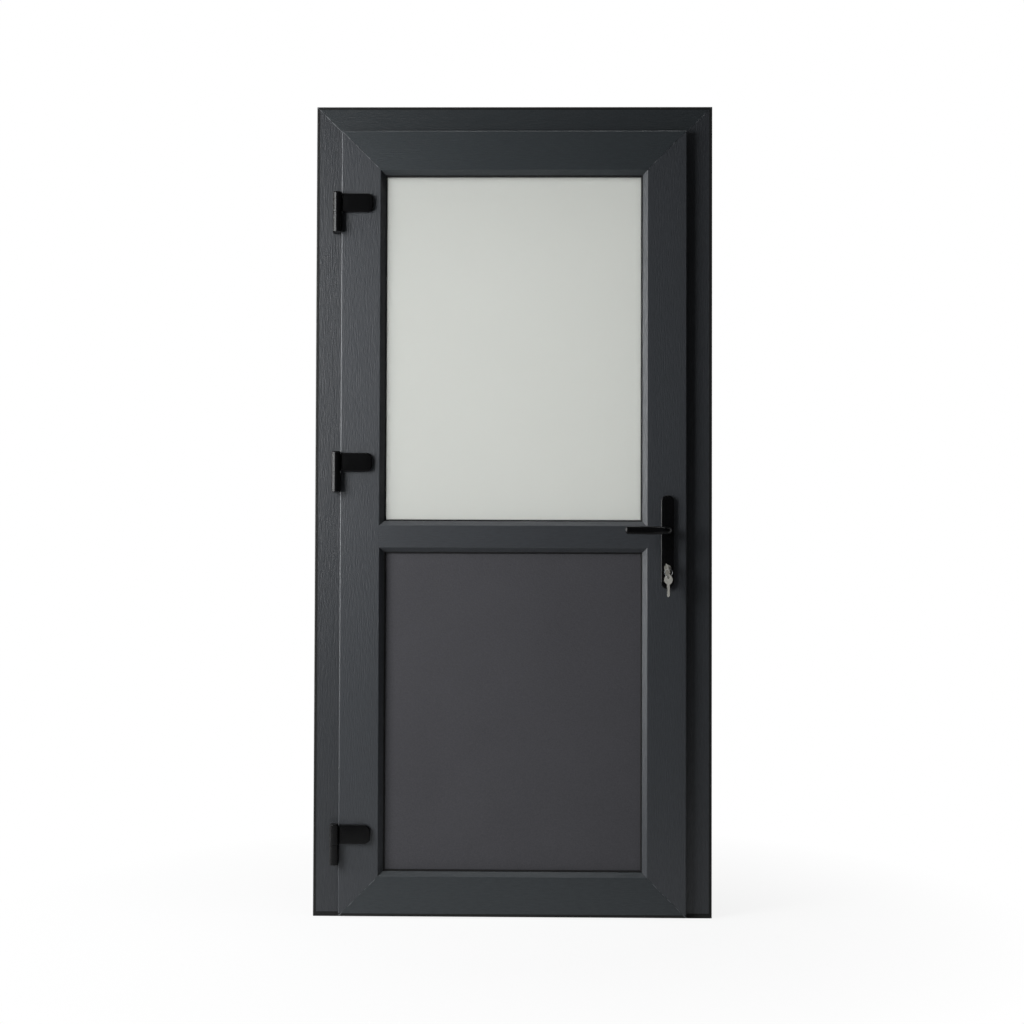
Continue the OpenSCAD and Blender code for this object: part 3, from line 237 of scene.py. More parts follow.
def outer_edge_band(tree, place):
    """1 in a band along the door set's outer edge, all the way round, and 0 elsewhere."""
    apart = add_node(tree, "ShaderNodeSeparateXYZ", {0: place}).outputs
    side_edge = cad_high.x - EDGE_BAND_WIDTH
    top_edge = cad_high.z - EDGE_BAND_WIDTH
    low_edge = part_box("leaf_bottom_rail")[0].z + EDGE_BAND_WIDTH
    from_middle = math_node(tree, "ABSOLUTE", apart["X"])
    beside = remap(tree, from_middle, side_edge - EDGE_BAND_FADE, side_edge, 0.0, 1.0)
    above = remap(tree, apart["Z"], top_edge - EDGE_BAND_FADE, top_edge, 0.0, 1.0)
    below = remap(tree, apart["Z"], low_edge, low_edge + EDGE_BAND_FADE, 1.0, 0.0)
    return math_node(tree, "MAXIMUM", math_node(tree, "MAXIMUM", beside, above), below)


def grained_foil(name, colour, along):
    """Embossed foil: noise stretched along one axis drives colour, gloss and bump together."""
    finish, tree, shader, place = new_finish(name)
    cells = [GRAIN_ACROSS] * 3
    cells[along] = GRAIN_ALONG
    streaks = noise(tree, stretched(tree, place, cells), 1.0, 5.0, 0.6)
    grain = remap(tree, streaks, 0.32, 0.68, 0.0, 1.0)
    pebble = noise(tree, place, FOIL_PEBBLE, 3.0)
    cloud = noise(tree, place, FOIL_CLOUD, 2.0)
    height = blended(tree, PEBBLE_SHARE, grain, pebble)
    tone = blended(tree, CLOUD_SHARE, grain, cloud)
    edge_band_share = outer_edge_band(tree, place)
    foil_colour = between(tree, tone, *(shade(colour, factor) for factor in FOIL_TONES))
    fill(tree, shader, {
        "Base Color": between(tree, edge_band_share, foil_colour, EDGE_BAND_COLOUR),
        "Roughness": remap(tree, height, 0.2, 0.8, *FOIL_GLOSS),
        "Specular IOR Level": remap(tree, edge_band_share, 0.0, 1.0, FOIL_SHINE, EDGE_BAND_SHINE),
        "Normal": bump(tree, height, 1.0, FOIL_RELIEF),
    })
    return finish


foil_upright = grained_foil("foil_upright", FOIL_COLOUR, ALONG_Z)
foil_level = grained_foil("foil_level", FOIL_COLOUR, ALONG_X)
# Darker copies of the one foil for the outer rails and the frame: painted shade.
foil_rail = grained_foil("foil_rail", RAIL_SHADED_COLOUR, ALONG_X)
frame_upright = grained_foil("frame_upright", shade(FOIL_COLOUR, FRAME_PAINTED_SHADE), ALONG_Z)
frame_level = grained_foil("frame_level", shade(RAIL_SHADED_COLOUR, FRAME_PAINTED_SHADE), ALONG_X)
print("foil grain", round(1000 / GRAIN_ACROSS, 1), "mm wide and", round(1000 / GRAIN_ALONG), "mm long")

# %% [markdown]
# ## The skin of the solid panel
#
# The lower panel has a skin of its own: the same dark grey, a touch warmer, with a fine
# leather-like pebble that has no direction. Cells of a Voronoi pattern give the pebbles and noise breaks
# their edges, which reads as moulded plastic where plain noise alone would read as dust.


# %% Pebbled panel skin
PANEL_COLOUR = (0.0486, 0.0478, 0.0534)
PANEL_PEBBLE = 250.0
PANEL_WANDER = 160.0
PANEL_CLOUD = 6.0
PANEL_TONES = (0.72, 1.3)
PANEL_GLOSS = (0.62, 0.48)
PANEL_RELIEF = 0.0005


def pebbled_skin(name, colour):
    """Moulded skin: distance to the nearest cell centre, softened by noise, as height, gloss and tone."""
    finish, tree, shader, place = new_finish(name)
    wander = noise(tree, place, PANEL_WANDER, 3.0)
    cells = add_node(tree, "ShaderNodeTexVoronoi", {"Vector": place, "Scale": PANEL_PEBBLE})
    height = blended(tree, 0.45, cells.outputs["Distance"], wander)
    cloud = noise(tree, place, PANEL_CLOUD, 3.0)
    tone = blended(tree, 0.62, cloud, height)
    fill(tree, shader, {
        "Base Color": between(tree, tone, *(shade(colour, factor) for factor in PANEL_TONES)),
        "Roughness": remap(tree, height, 0.2, 0.8, *PANEL_GLOSS),
        "Specular IOR Level": 0.35,
        "Normal": bump(tree, height, 0.7, PANEL_RELIEF),
    })
    return finish


panel_skin = pebbled_skin("panel_skin", PANEL_COLOUR)
print("panel pebbles", round(1000 / PANEL_PEBBLE, 1), "mm across")

# %% [markdown]
# ## Glass
#
# The outer pane is satin glass: etched, so that it passes light and hides what is behind. A rough
# transmission does that by itself, and a fine bump breaks the last of the sharpness. The inner pane
# is clear and only a little green.


# %% Satin glass and clear glass
SATIN_COLOUR = (0.675, 0.676, 0.648)
CLEAR_COLOUR = (0.93, 0.96, 0.945)
ETCH = 1600.0
ETCH_GLOSS = (0.52, 0.64)
ETCH_RELIEF = 0.00008
WAVE = 4.0
WAVE_GLOSS = (0.01, 0.03)
WAVE_RELIEF = 0.0005


def satin_glass(name):
    """Etched glass: rough transmission whose roughness and bump follow a very fine noise."""
    finish, tree, shader, place = new_finish(name)
    etch = noise(tree, place, ETCH, 2.0)
    cloud = noise(tree, place, 3.0, 2.0)
    fill(tree, shader, {
        "Base Color": between(tree, cloud, shade(SATIN_COLOUR, 0.985), shade(SATIN_COLOUR, 1.01)),
        "Roughness": remap(tree, etch, 0.3, 0.7, *ETCH_GLOSS),
        "Transmission Weight": 0.82,
        "IOR": 1.45,
        "Specular IOR Level": 0.35,
        "Normal": bump(tree, etch, 0.12, ETCH_RELIEF),
    })
    return finish


def clear_glass(name):
    """Float glass: smooth transmission with a faint waviness."""
    finish, tree, shader, place = new_finish(name)
    wave = noise(tree, place, WAVE, 1.0)
    fill(tree, shader, {
        "Base Color": between(tree, wave, shade(CLEAR_COLOUR, 0.99), CLEAR_COLOUR),
        "Roughness": remap(tree, wave, 0.3, 0.7, *WAVE_GLOSS),
        "Transmission Weight": 1.0,
        "IOR": 1.5,
        "Normal": bump(tree, wave, 0.05, WAVE_RELIEF),
    })
    return finish


satin_pane = satin_glass("satin_pane")
clear_pane = clear_glass("clear_pane")
print(satin_pane.name, "has an etch", round(1000 / ETCH, 2), "mm fine,", clear_pane.name, "has none")

# %% [markdown]
# ## Black fittings, rubber and small plastics
#
# The hinges, levers and backplates are coated in satin black, which shows a bright line wherever a
# rounded edge turns towards the light. Covers and caps are moulded nylon, duller and slightly
# speckled. Rubber is duller still. One function serves them all, because they differ only in
# colour, gloss and the size of their skin's speckle.


# %% Coated and moulded finishes
MOULDED_CLOUD = 22.0
MOULDED_TONES = (0.75, 1.25)
BLACK = (0.0018, 0.0018, 0.002)


def moulded(name, colour, gloss, speckle, rise, level=0.5):
    """A skin with a fine speckle: gloss is a pair of roughness limits, rise the bump's height in metres."""
    finish, tree, shader, place = new_finish(name)
    grit = noise(tree, place, speckle, 3.0)
    tone = blended(tree, 0.4, noise(tree, place, MOULDED_CLOUD, 3.0), grit)
    fill(tree, shader, {
        "Base Color": between(tree, tone, *(shade(colour, factor) for factor in MOULDED_TONES)),
        "Roughness": remap(tree, grit, 0.25, 0.75, *gloss),
        "Specular IOR Level": level,
        "Normal": bump(tree, grit, 0.3, rise),
    })
    return finish


satin_black = moulded("satin_black", BLACK, (0.22, 0.32), 900.0, 0.00004, 0.22)
black_nylon = moulded("black_nylon", BLACK, (0.26, 0.35), 1500.0, 0.00005, 0.15)
black_rubber = moulded("black_rubber", (0.005, 0.005, 0.005), (0.6, 0.75), 1200.0, 0.00006, 0.3)
packer_blue = moulded("packer_blue", (0.06, 0.12, 0.30), (0.3, 0.4), 600.0, 0.00005)
foam_core = moulded("foam_core", (0.78, 0.76, 0.69), (0.8, 0.95), 700.0, 0.0004, 0.2)
mouldings = (satin_black, black_nylon, black_rubber, packer_blue, foam_core)
print("moulded finishes:", ", ".join(finish.name for finish in mouldings))

# %% [markdown]
# ## Metals
#
# Zinc-plated steel, mill aluminium and nickel are one idea: a metallic shader whose roughness and
# bump follow noise that is stretched along the direction of brushing. A slow cloud in the tone
# stands for handling. The spare key has a darker copy of the nickel than the rest: painted shade,
# so that it reads less bright.


# %% Brushed and plated metals
METAL_CLOUD = 45.0
METAL_TONES = (0.86, 1.06)


def plated(name, colour, gloss, cells, rise):
    """Brushed metal: noise stretched by cells per metre along each axis drives gloss and a shallow bump."""
    finish, tree, shader, place = new_finish(name)
    brush = noise(tree, stretched(tree, place, cells), 1.0, 3.0)
    cloud = noise(tree, place, METAL_CLOUD, 3.0)
    fill(tree, shader, {
        "Base Color": between(tree, cloud, *(shade(colour, factor) for factor in METAL_TONES)),
        "Metallic": 1.0,
        "Roughness": remap(tree, brush, 0.3, 0.7, *gloss),
        "Normal": bump(tree, brush, 0.2, rise),
    })
    return finish


zinc_steel = plated("zinc_steel", (0.60, 0.61, 0.62), (0.28, 0.45), (900, 900, 60), 0.00004)
mill_aluminium = plated("mill_aluminium", (0.70, 0.71, 0.72), (0.3, 0.42), (30, 1200, 1200), 0.00004)
nickel_plate = plated("nickel_plate", (0.34, 0.33, 0.30), (0.68, 0.8), (700, 700, 700), 0.00003)
# Painted shade: a darker copy of the nickel for the spare key.
worn_nickel = plated("worn_nickel", (0.15, 0.147, 0.135), (0.62, 0.78), (700, 700, 700), 0.00004)
metals = (zinc_steel, mill_aluminium, nickel_plate, worn_nickel)
print("metals:", ", ".join(finish.name for finish in metals))

# %% [markdown]
# ## Dressing the solids
#
# Every solid names a material slot, so most pieces find their finish through one table. A second
# table holds the exceptions: rails and the head lie down, so they take the foil with its grain
# along X; the outer rails, the head and the frame take darker copies of the foil, and the spare key
# a darker copy of the nickel, all of them painted shade. Assigning the finish to the object's own
# slot changes no mesh.

# %% Give each solid its finish
FINISH_OF_SLOT = {
    "anthracite_foil": foil_upright, "panel_foil": panel_skin, "black_fitting": satin_black,
    "zinc_steel": zinc_steel, "mill_aluminium": mill_aluminium, "black_rubber": black_rubber,
    "black_nylon": black_nylon, "frosted_glass": satin_pane, "clear_glass": clear_pane,
    "nickel_plate": nickel_plate, "blue_plastic": packer_blue, "white_foam": foam_core,
}
FINISH_OF_PIECE = {
    "frame_head": frame_level, "frame_hinge_jamb": frame_upright, "frame_lock_jamb": frame_upright,
    "leaf_top_rail": foil_rail, "leaf_middle_rail": foil_level, "leaf_bottom_rail": foil_rail,
    "spare_key": worn_nickel,
}

slot_of = {piece["node"]: piece["material_slot"] for piece in frame["record"]["subparts"]}
for name, solid in nodes.items():
    solid.data.materials.clear()
    solid.data.materials.append(FINISH_OF_PIECE.get(name, FINISH_OF_SLOT[slot_of[name]]))
print("dressed", len(nodes), "solids from", len(set(slot_of.values())), "material slots")

# %% [markdown]
# ## Surfaces from grids
#
# The remade pieces are all grids of points: one direction runs along the piece and the other goes
# round it. A grid becomes quads by joining each point to its neighbours, and its two ends are
# closed by one face each. The sign of the enclosed volume tells whether the faces point outwards,
# so no piece needs turning by hand.


# %% From a grid of points to a mesh
SHARP_ANGLE = math.radians(38)


def grid_shell(points):
    """Vertices and faces of a closed surface over a grid: rows along it, columns round it, ends capped."""
    rows, columns = points.shape[:2]
    index = np.arange(rows * columns).reshape(rows, columns)
    near, far = index[:-1], index[1:]
    quads = np.stack([near, np.roll(near, -1, 1), np.roll(far, -1, 1), far], axis=-1).reshape(-1, 4)
    flat = points.reshape(-1, 3)
    first, second, third = (flat[quads[:, corner]] for corner in range(3))
    normals = np.cross(second - first, third - first)
    outward = np.einsum("ij,ij->i", normals, first - flat.mean(axis=0)).sum() > 0
    faces = quads.tolist() + [index[0][::-1].tolist(), index[-1].tolist()]
    return flat, faces if outward else [face[::-1] for face in faces]


def make_piece(name, shells, finish, body, slot, replaced=()):
    """One smooth mesh from several shells, dressed, riding on a body and standing for what it remakes."""
    vertices, faces, start = [], [], 0
    for flat, shell_faces in shells:
        vertices.append(flat)
        faces += [[corner + start for corner in face] for face in shell_faces]
        start += len(flat)
    mesh = bpy.data.meshes.new(name)
    mesh.from_pydata(np.concatenate(vertices).tolist(), [], faces)
    mesh.shade_smooth()
    mesh.set_sharp_from_angle(angle=SHARP_ANGLE)
    mesh.materials.append(finish)
    piece = bpy.data.objects.new(name, mesh)
    bpy.context.scene.collection.objects.link(piece)
    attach(piece, body)
    if replaced:
        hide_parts(*replaced)
    print(name, len(mesh.polygons), "faces")


print("surface helpers:", grid_shell.__name__, "and", make_piece.__name__)

# %% [markdown]
# ## Measuring the solids
#
# A remade piece has to lie exactly where its solid lies, so its sizes are read from the solid
# instead of being typed in again. Some solids are groups, such as all the screws of one kind.
# Sorting the points of a group by height and cutting it at the gaps gives the box of each member.


# %% Boxes of the members of a group
def node_points(name):
    """All vertices of a solid as an array of rows."""
    mesh = nodes[name].data
    flat = np.empty(len(mesh.vertices) * 3)
    mesh.vertices.foreach_get("co", flat)
    return flat.reshape(-1, 3)


def separate_boxes(name, gap=0.005):
    """Lowest and highest corners of each member of a group, split where its heights leave a gap."""
    points = node_points(name)
    points = points[np.argsort(points[:, 2])]
    cuts = np.nonzero(np.diff(points[:, 2]) > gap)[0] + 1
    return [(part.min(axis=0), part.max(axis=0)) for part in np.split(points, cuts)]


cover_boxes = separate_boxes("hinge_covers", 0.1)
print("hinge covers at", [round(float(low[2] + high[2]) / 2, 3) for low, high in cover_boxes], "m")

# %% [markdown]
# ## The levers
#
# A lever is one cast bar: a round neck comes out of the backplate, turns through a right angle and
# flattens into the grip. Bending a cylinder with a modifier would crush the inside of the bend, so
# the bar is a section carried along its centre line instead: straight, quarter circle, straight.
# The section is a superellipse whose half width, half thickness and squareness all change smoothly
# along the way, and the tip closes as a dome.


# %% Levers as a section along a bent line
NECK_RADIUS = 0.009
GRIP_HALF_THICKNESS = 0.006
GRIP_TAPER = 0.10
GRIP_SQUARENESS = 1.0
BEND_RADIUS = 0.015
FLATTENS_FROM, FLATTENS_TO = 0.3, 0.4
TIP_LENGTH = 0.007
TIP_OPENING = 0.08
TIP_RINGS = 16
LEVER_RINGS = 150
LEVER_SIDES = 56


def smooth_step(values, low, high):
    """0 below low, 1 above high and a smooth S between."""
    share = np.clip((values - low) / (high - low), 0.0, 1.0)
    return share * share * (3.0 - 2.0 * share)


def lever_shell(axis_point, foot_y, grip_y, tip_x, half_width):
    """Superellipse carried from the foot along Y, round a quarter circle and along -X to a domed tip."""
    side = math.copysign(1.0, grip_y - foot_y)
    neck = abs(grip_y - foot_y) - BEND_RADIUS
    arm = axis_point[0] - BEND_RADIUS - tip_x
    arc = BEND_RADIUS * math.pi / 2
    length = neck + arc + arm
    tip_angle = np.linspace(0.0, math.pi / 2 - TIP_OPENING, TIP_RINGS)
    travel = np.concatenate([
        np.linspace(0.0, length - TIP_LENGTH, LEVER_RINGS, endpoint=False),
        length - TIP_LENGTH + TIP_LENGTH * np.sin(tip_angle),
    ])
    turn = np.clip((travel - neck) / BEND_RADIUS, 0.0, math.pi / 2)
    x = -BEND_RADIUS * (1 - np.cos(turn)) - np.clip(travel - neck - arc, 0.0, None)
    out = np.minimum(travel, neck) + BEND_RADIUS * np.sin(turn)
    blend = smooth_step(travel, neck + FLATTENS_FROM * arc, neck + arc + FLATTENS_TO * arm)
    into_tip = np.clip((travel - length + TIP_LENGTH) / TIP_LENGTH, 0.0, 1.0)
    dome = np.sqrt(np.clip(1.0 - into_tip ** 2, 0.0, 1.0))
    taper = 1.0 - GRIP_TAPER * smooth_step(travel, neck + arc, length)
    width = (NECK_RADIUS + (half_width - NECK_RADIUS) * blend) * taper * dome
    thick = (NECK_RADIUS + (GRIP_HALF_THICKNESS - NECK_RADIUS) * blend) * taper * dome
    power = 2.0 / (2.0 + GRIP_SQUARENESS * blend)
    angle = np.linspace(0.0, 2 * math.pi, LEVER_SIDES, endpoint=False)
    cosine, sine = np.cos(angle), np.sin(angle)
    across = np.sign(cosine) * np.abs(cosine) ** power[:, None] * thick[:, None]
    upright = np.sign(sine) * np.abs(sine) ** power[:, None] * width[:, None]
    points = np.stack([
        axis_point[0] + x[:, None] + across * np.cos(turn)[:, None],
        foot_y + side * (out[:, None] + across * np.sin(turn)[:, None]),
        axis_point[2] + upright,
    ], axis=-1)
    return grid_shell(points)


lever_axis = joints["lever_turn"]["pos_m"]
for name, at_front in (("outer_lever", True), ("inner_lever", False)):
    low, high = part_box(name)
    foot = high.y if at_front else low.y
    grip = low.y + NECK_RADIUS if at_front else high.y - NECK_RADIUS
    shell = lever_shell(lever_axis, foot, grip, low.x, (high.z - low.z) / 2)
    make_piece(name + "_cast", [shell], satin_black, "lever", "black_fitting", [name])

# %% [markdown]
# ## Hinge covers
#
# A moulded cover hides each hinge's flag and screws. It is a low pillow: straight sides, a rounded
# rim and a face that rises slightly to the middle. Rings of one rounded outline give the whole
# cover at once: each is drawn in by an amount and lifted by the profile. The same rings drawn in
# once more by the wall give its hollow inside.


# %% Covers as nested rings of a rounded outline
COVER_RIM = 0.003
COVER_CROWN = 0.0006
COVER_WALL = 0.0018
COVER_CORNER = 0.003
COVER_END_SHARE = 0.62
LEAST_RADIUS = 0.0002
FACE_MIDDLE, INSIDE_MIDDLE = 0.0004, 0.0003
RIM_RINGS, FACE_RINGS = 9, 14


def rounded_outline(half_x, half_z, radii, sides=24):
    """Closed outline of a rectangle, with a radius for each corner, from the lower left corner round."""
    signs = ((-1, -1), (1, -1), (1, 1), (-1, 1))
    starts = (math.pi, 1.5 * math.pi, 0.0, 0.5 * math.pi)
    parts = []
    for (sign_x, sign_z), start, radius in zip(signs, starts, radii):
        angle = start + np.linspace(0.0, math.pi / 2, sides)
        centre = np.array([sign_x * (half_x - radius), sign_z * (half_z - radius)])
        parts.append(centre + radius * np.stack([np.cos(angle), np.sin(angle)], axis=-1))
    return np.concatenate(parts)


def cover_shell(low, high):
    """Rings of the outline from the face's middle to the rim, down its quarter circle and back inside."""
    half_x, half_z = (high[0] - low[0]) / 2, (high[2] - low[2]) / 2
    depth = high[1] - low[1]
    rim = np.linspace(0.0, math.pi / 2, RIM_RINGS)
    inner = np.linspace(COVER_RIM, half_z - FACE_MIDDLE, FACE_RINGS)[1:]
    inset = np.concatenate([[0.0], COVER_RIM * (1 - np.cos(rim)), inner])
    flat_share = (inner - COVER_RIM) / (half_z - COVER_RIM)
    rise = depth - COVER_CROWN - COVER_RIM * (1 - np.sin(rim))
    lift = np.concatenate([[0.0], rise, depth - COVER_CROWN * (1 - flat_share) ** 2])
    inset_all = np.concatenate([inset[::-1], np.minimum(inset + COVER_WALL, half_z - INSIDE_MIDDLE)])
    lift_all = np.concatenate([lift[::-1], np.maximum(lift - COVER_WALL, 0.0)])
    rings = []
    for step in inset_all:
        by_knuckle = max(COVER_CORNER - step, LEAST_RADIUS)
        at_end = max(half_z * COVER_END_SHARE - step, LEAST_RADIUS)
        radii = (by_knuckle, at_end, at_end, by_knuckle)
        rings.append(rounded_outline(half_x - step, half_z - step, radii))
    flat = np.stack(rings)
    points = np.empty(flat.shape[:2] + (3,))
    points[..., 0] = (low[0] + high[0]) / 2 + flat[..., 0]
    points[..., 1] = high[1] - lift_all[:, None]
    points[..., 2] = (low[2] + high[2]) / 2 + flat[..., 1]
    return grid_shell(points)


cover_shells = [cover_shell(low, high) for low, high in cover_boxes]
make_piece("moulded_hinge_covers", cover_shells, black_nylon, "leaf", "black_nylon", ["hinge_covers"])

# %% [markdown]
# ## The split ring
#
# A key ring is a flat spring of two turns that lie side by side, with one short step where the wire
# crosses from one turn to the other. It is a flattened section carried twice round a circle while a
# smooth step moves it sideways.

# %% Two turns of flat wire
RING_STEPS, RING_SIDES = 260, 20
RING_END_GAP = 0.06
CROSSING = 0.3
TURN_OFFSET = 0.26
WIRE_HALF_DEPTH, WIRE_HALF_WIDTH = 0.48, 0.23
WIRE_POWER = 0.6

low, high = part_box("key_ring")
wire = high.y - low.y
ring_radius = (high.z - low.z) / 2 - wire / 2
ring_centre = (low + high) / 2
around = np.linspace(RING_END_GAP, 4 * math.pi - RING_END_GAP, RING_STEPS)
crossed = smooth_step(around, 2 * math.pi - CROSSING, 2 * math.pi + CROSSING)
sideways = wire * TURN_OFFSET * (2.0 * crossed - 1.0)
section = np.linspace(0.0, 2 * math.pi, RING_SIDES, endpoint=False)
cosine, sine = np.cos(section), np.sin(section)
radial = ring_radius + WIRE_HALF_DEPTH * wire * np.sign(cosine) * np.abs(cosine) ** WIRE_POWER
lateral = WIRE_HALF_WIDTH * wire * np.sign(sine) * np.abs(sine) ** WIRE_POWER
ring_points = np.stack([
    ring_centre.x + np.cos(around)[:, None] * radial,
    ring_centre.y + sideways[:, None] + lateral,
    ring_centre.z + np.sin(around)[:, None] * radial,
], axis=-1)
make_piece("split_ring", [grid_shell(ring_points)], zinc_steel, "ring", "zinc_steel", ["key_ring"])

# %% [markdown]
# ## Screws with a cross recess
#
# Where a screw's head shows, someone will look for its cross. A screw is a surface of revolution:
# from the middle of the head out to its rim, down the cone and along the shank. The cross is
# pressed into the head's disc by lowering each point by how far it lies inside either of two slots,
# and a fine polar grid keeps the slots crisp.

# %% Countersunk screws
SCREW_SIDES = 96
RECESS_REACH = 0.56
RECESS_HALF_WIDTH = 0.11
RECESS_SOFTNESS = 0.03
RECESS_DEPTH, RECESS_TAPER = 0.42, 1.15
HEAD_DISC = (0.02, 0.97, 34)
BODY_RADII = (1.0, 0.99, 0.5, 0.5, 0.42, 0.03)
HEAD_DEPTHS = (0.02, 0.05, 0.52)
POINT_LENGTH = 0.3


def inside(distance, limit):
    """1 where a distance is less than a limit and 0 beyond it, with a soft edge."""
    return smooth_step(-distance, -limit - RECESS_SOFTNESS, -limit + RECESS_SOFTNESS)


def screw_shell(head, toward, head_radius, length):
    """Polar grid over the head with two slots pressed in, then the cone, the shank and its end."""
    angle = np.linspace(0.0, 2 * math.pi, SCREW_SIDES, endpoint=False)
    disc = np.linspace(*HEAD_DISC)
    x, z = disc[:, None] * np.cos(angle), disc[:, None] * np.sin(angle)
    slots = np.maximum(inside(np.abs(z), RECESS_HALF_WIDTH), inside(np.abs(x), RECESS_HALF_WIDTH))
    reach = inside(disc, RECESS_REACH)[:, None]
    sunk = RECESS_DEPTH * (RECESS_TAPER - disc[:, None]) * slots * reach
    radius = np.concatenate([disc, BODY_RADII]) * head_radius
    depth = np.array(HEAD_DEPTHS) * head_radius
    depth = np.concatenate([depth, [length - POINT_LENGTH * head_radius, length, length]])
    down = np.concatenate([sunk * head_radius, np.repeat(depth[:, None], SCREW_SIDES, axis=1)])
    toward = np.asarray(toward, float)
    side = np.cross(toward, (0.0, 0.0, 1.0))
    up = np.cross(side, toward)
    ring = np.cos(angle)[:, None] * side + np.sin(angle)[:, None] * up
    return grid_shell(np.asarray(head) + radius[:, None, None] * ring - down[..., None] * toward)


SCREW_GROUPS = (
    ("handle_screws", (0, 1, 0), "leaf"), ("faceplate_screws", (1, 0, 0), "leaf"),
    ("cylinder_screw", (1, 0, 0), "leaf"), ("strike_screws", (-1, 0, 0), "frame"),
)
for name, toward, body in SCREW_GROUPS:
    along = int(np.argmax(np.abs(toward)))
    shells = []
    for low, high in separate_boxes(name):
        head = (low + high) / 2
        head[along] = high[along] if toward[along] > 0 else low[along]
        shells.append(screw_shell(head, toward, (high[2] - low[2]) / 2, high[along] - low[along]))
    make_piece(name + "_crossed", shells, zinc_steel, body, "zinc_steel", [name])

# %% [markdown]
# ## Cleaned welds
#
# The bars are welded at their mitres, and a knife takes the weld flash off, which leaves a shallow
# groove. A low bead with a wandering edge lies in each groove: a flat arch carried along the
# diagonal, as long as the bars are wide. Its colour is lighter than the foil in patches: a painted
# highlight for the light that the groove's walls catch, which a noise with a steep step gives better
# than a second row of beads would.

# %% A painted highlight that covers in patches
# Painted highlight: the beads are lighter than the foil for the light that the groove's walls catch.
WELD_HIGHLIGHT_COLOUR = (0.15, 0.158, 0.165)
HIGHLIGHT_PATCH, BEAD_GRIT = 75.0, 800.0
BEAD_GLOSS = (0.42, 0.58)
BEAD_RELIEF = 0.00008


def patchy_highlight(name, colour, under):
    """Painted highlight in patches: noise along the bead mixes a lighter colour with the colour under it."""
    finish, tree, shader, place = new_finish(name)
    patch = remap(tree, noise(tree, place, HIGHLIGHT_PATCH, 3.0), 0.46, 0.66, 0.0, 1.0)
    fill(tree, shader, {
        "Base Color": between(tree, patch, under, colour),
        "Roughness": remap(tree, patch, 0.0, 1.0, *BEAD_GLOSS),
        "Normal": bump(tree, noise(tree, place, BEAD_GRIT, 3.0), 0.3, BEAD_RELIEF),
    })
    return finish


weld_pen = patchy_highlight("weld_pen", WELD_HIGHLIGHT_COLOUR, FOIL_COLOUR)
print("highlight patches about", round(1000 / HIGHLIGHT_PATCH), "mm long")

# %% Weld beads along the mitres
WELD_HALF_WIDTH = 0.0009
WELD_HEIGHT = 0.00035
WELD_DEPTH = 0.0005
WELD_UNDERSIDE = -0.0001
WELD_END_GAP = 0.0015
WELD_STEPS, ARCH_STEPS = 90, 9
LEAF_FACE_WIDTH = 0.0955


def weld_shell(corner, inward, face_y, out_y, length):
    """Half an arch, flat below, carried from a corner along a diagonal; two sines let its width wander."""
    travel = np.linspace(WELD_END_GAP, length - WELD_END_GAP, WELD_STEPS)
    wander = 1.0 + 0.10 * np.sin(travel * 310.0) + 0.07 * np.sin(travel * 870.0 + 1.0)
    arch = np.linspace(0.0, math.pi, ARCH_STEPS)
    across = np.concatenate([np.cos(arch), [-1.0, 1.0]]) * WELD_HALF_WIDTH
    lift = np.concatenate([np.sin(arch) * WELD_HEIGHT, [WELD_UNDERSIDE, WELD_UNDERSIDE]])
    line = np.asarray(inward, float) / math.hypot(*inward)
    normal = np.array([-line[1], line[0]])
    middle = np.asarray(corner) + travel[:, None, None] * line
    flat = middle + (wander[:, None] * across)[..., None] * normal
    points = np.empty(flat.shape[:2] + (3,))
    points[..., 0] = flat[..., 0]
    points[..., 1] = face_y + out_y * (lift - WELD_DEPTH)
    points[..., 2] = flat[..., 1]
    return grid_shell(points)


def weld_set(outer_low, outer_high, width, bottoms):
    """Beads on both faces at the top corners of a rectangle, and at its bottom corners if asked."""
    shells = []
    ends = ((outer_high.z, -1),) + (((outer_low.z, 1),) if bottoms else ())
    for x, step in ((outer_low.x, 1), (outer_high.x, -1)):
        for z, rise in ends:
            for face_y, out_y in ((outer_low.y, -1), (outer_high.y, 1)):
                shells.append(weld_shell((x, z), (step, rise), face_y, out_y, width * math.sqrt(2)))
    return shells


head_low, head_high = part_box("frame_head")
frame_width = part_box("frame_hinge_jamb")[1].x - head_low.x
frame_welds = weld_set(head_low, head_high, frame_width, False)
make_piece("frame_weld_beads", frame_welds, weld_pen, "frame", "anthracite_foil")
leaf_low, leaf_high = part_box("leaf_hinge_stile")[0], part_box("leaf_lock_stile")[1]
leaf_welds = weld_set(leaf_low, leaf_high, LEAF_FACE_WIDTH, True)
make_piece("leaf_weld_beads", leaf_welds, weld_pen, "leaf", "anthracite_foil")

# %% [markdown]
# ## The floor
#
# The door stands on a pale floor in a white studio. A lamp bright enough to make the floor white
# would bleach the door as well, so the floor glows a little for the camera instead, through the
# Light Path node. Near the door the glow is weaker, and a soft shadow stays there.

# %% A pale floor
FLOOR_HALF = 14.0
FLOOR_COLOUR = (0.85, 0.85, 0.85, 1.0)
WHITE = (1.0, 1.0, 1.0, 1.0)
GLOW_NEAR, GLOW_FAR = 0.88, 1.0
NEAR_DOOR, FAR_FROM_DOOR = 0.5, 1.3

floor_mesh = bpy.data.meshes.new("studio_floor")
floor_corners = np.array([[-1, -1, 0], [1, -1, 0], [1, 1, 0], [-1, 1, 0]]) * FLOOR_HALF
floor_mesh.from_pydata(floor_corners.tolist(), [], [(0, 1, 2, 3)])
floor = bpy.data.objects.new("studio_floor", floor_mesh)
bpy.context.scene.collection.objects.link(floor)

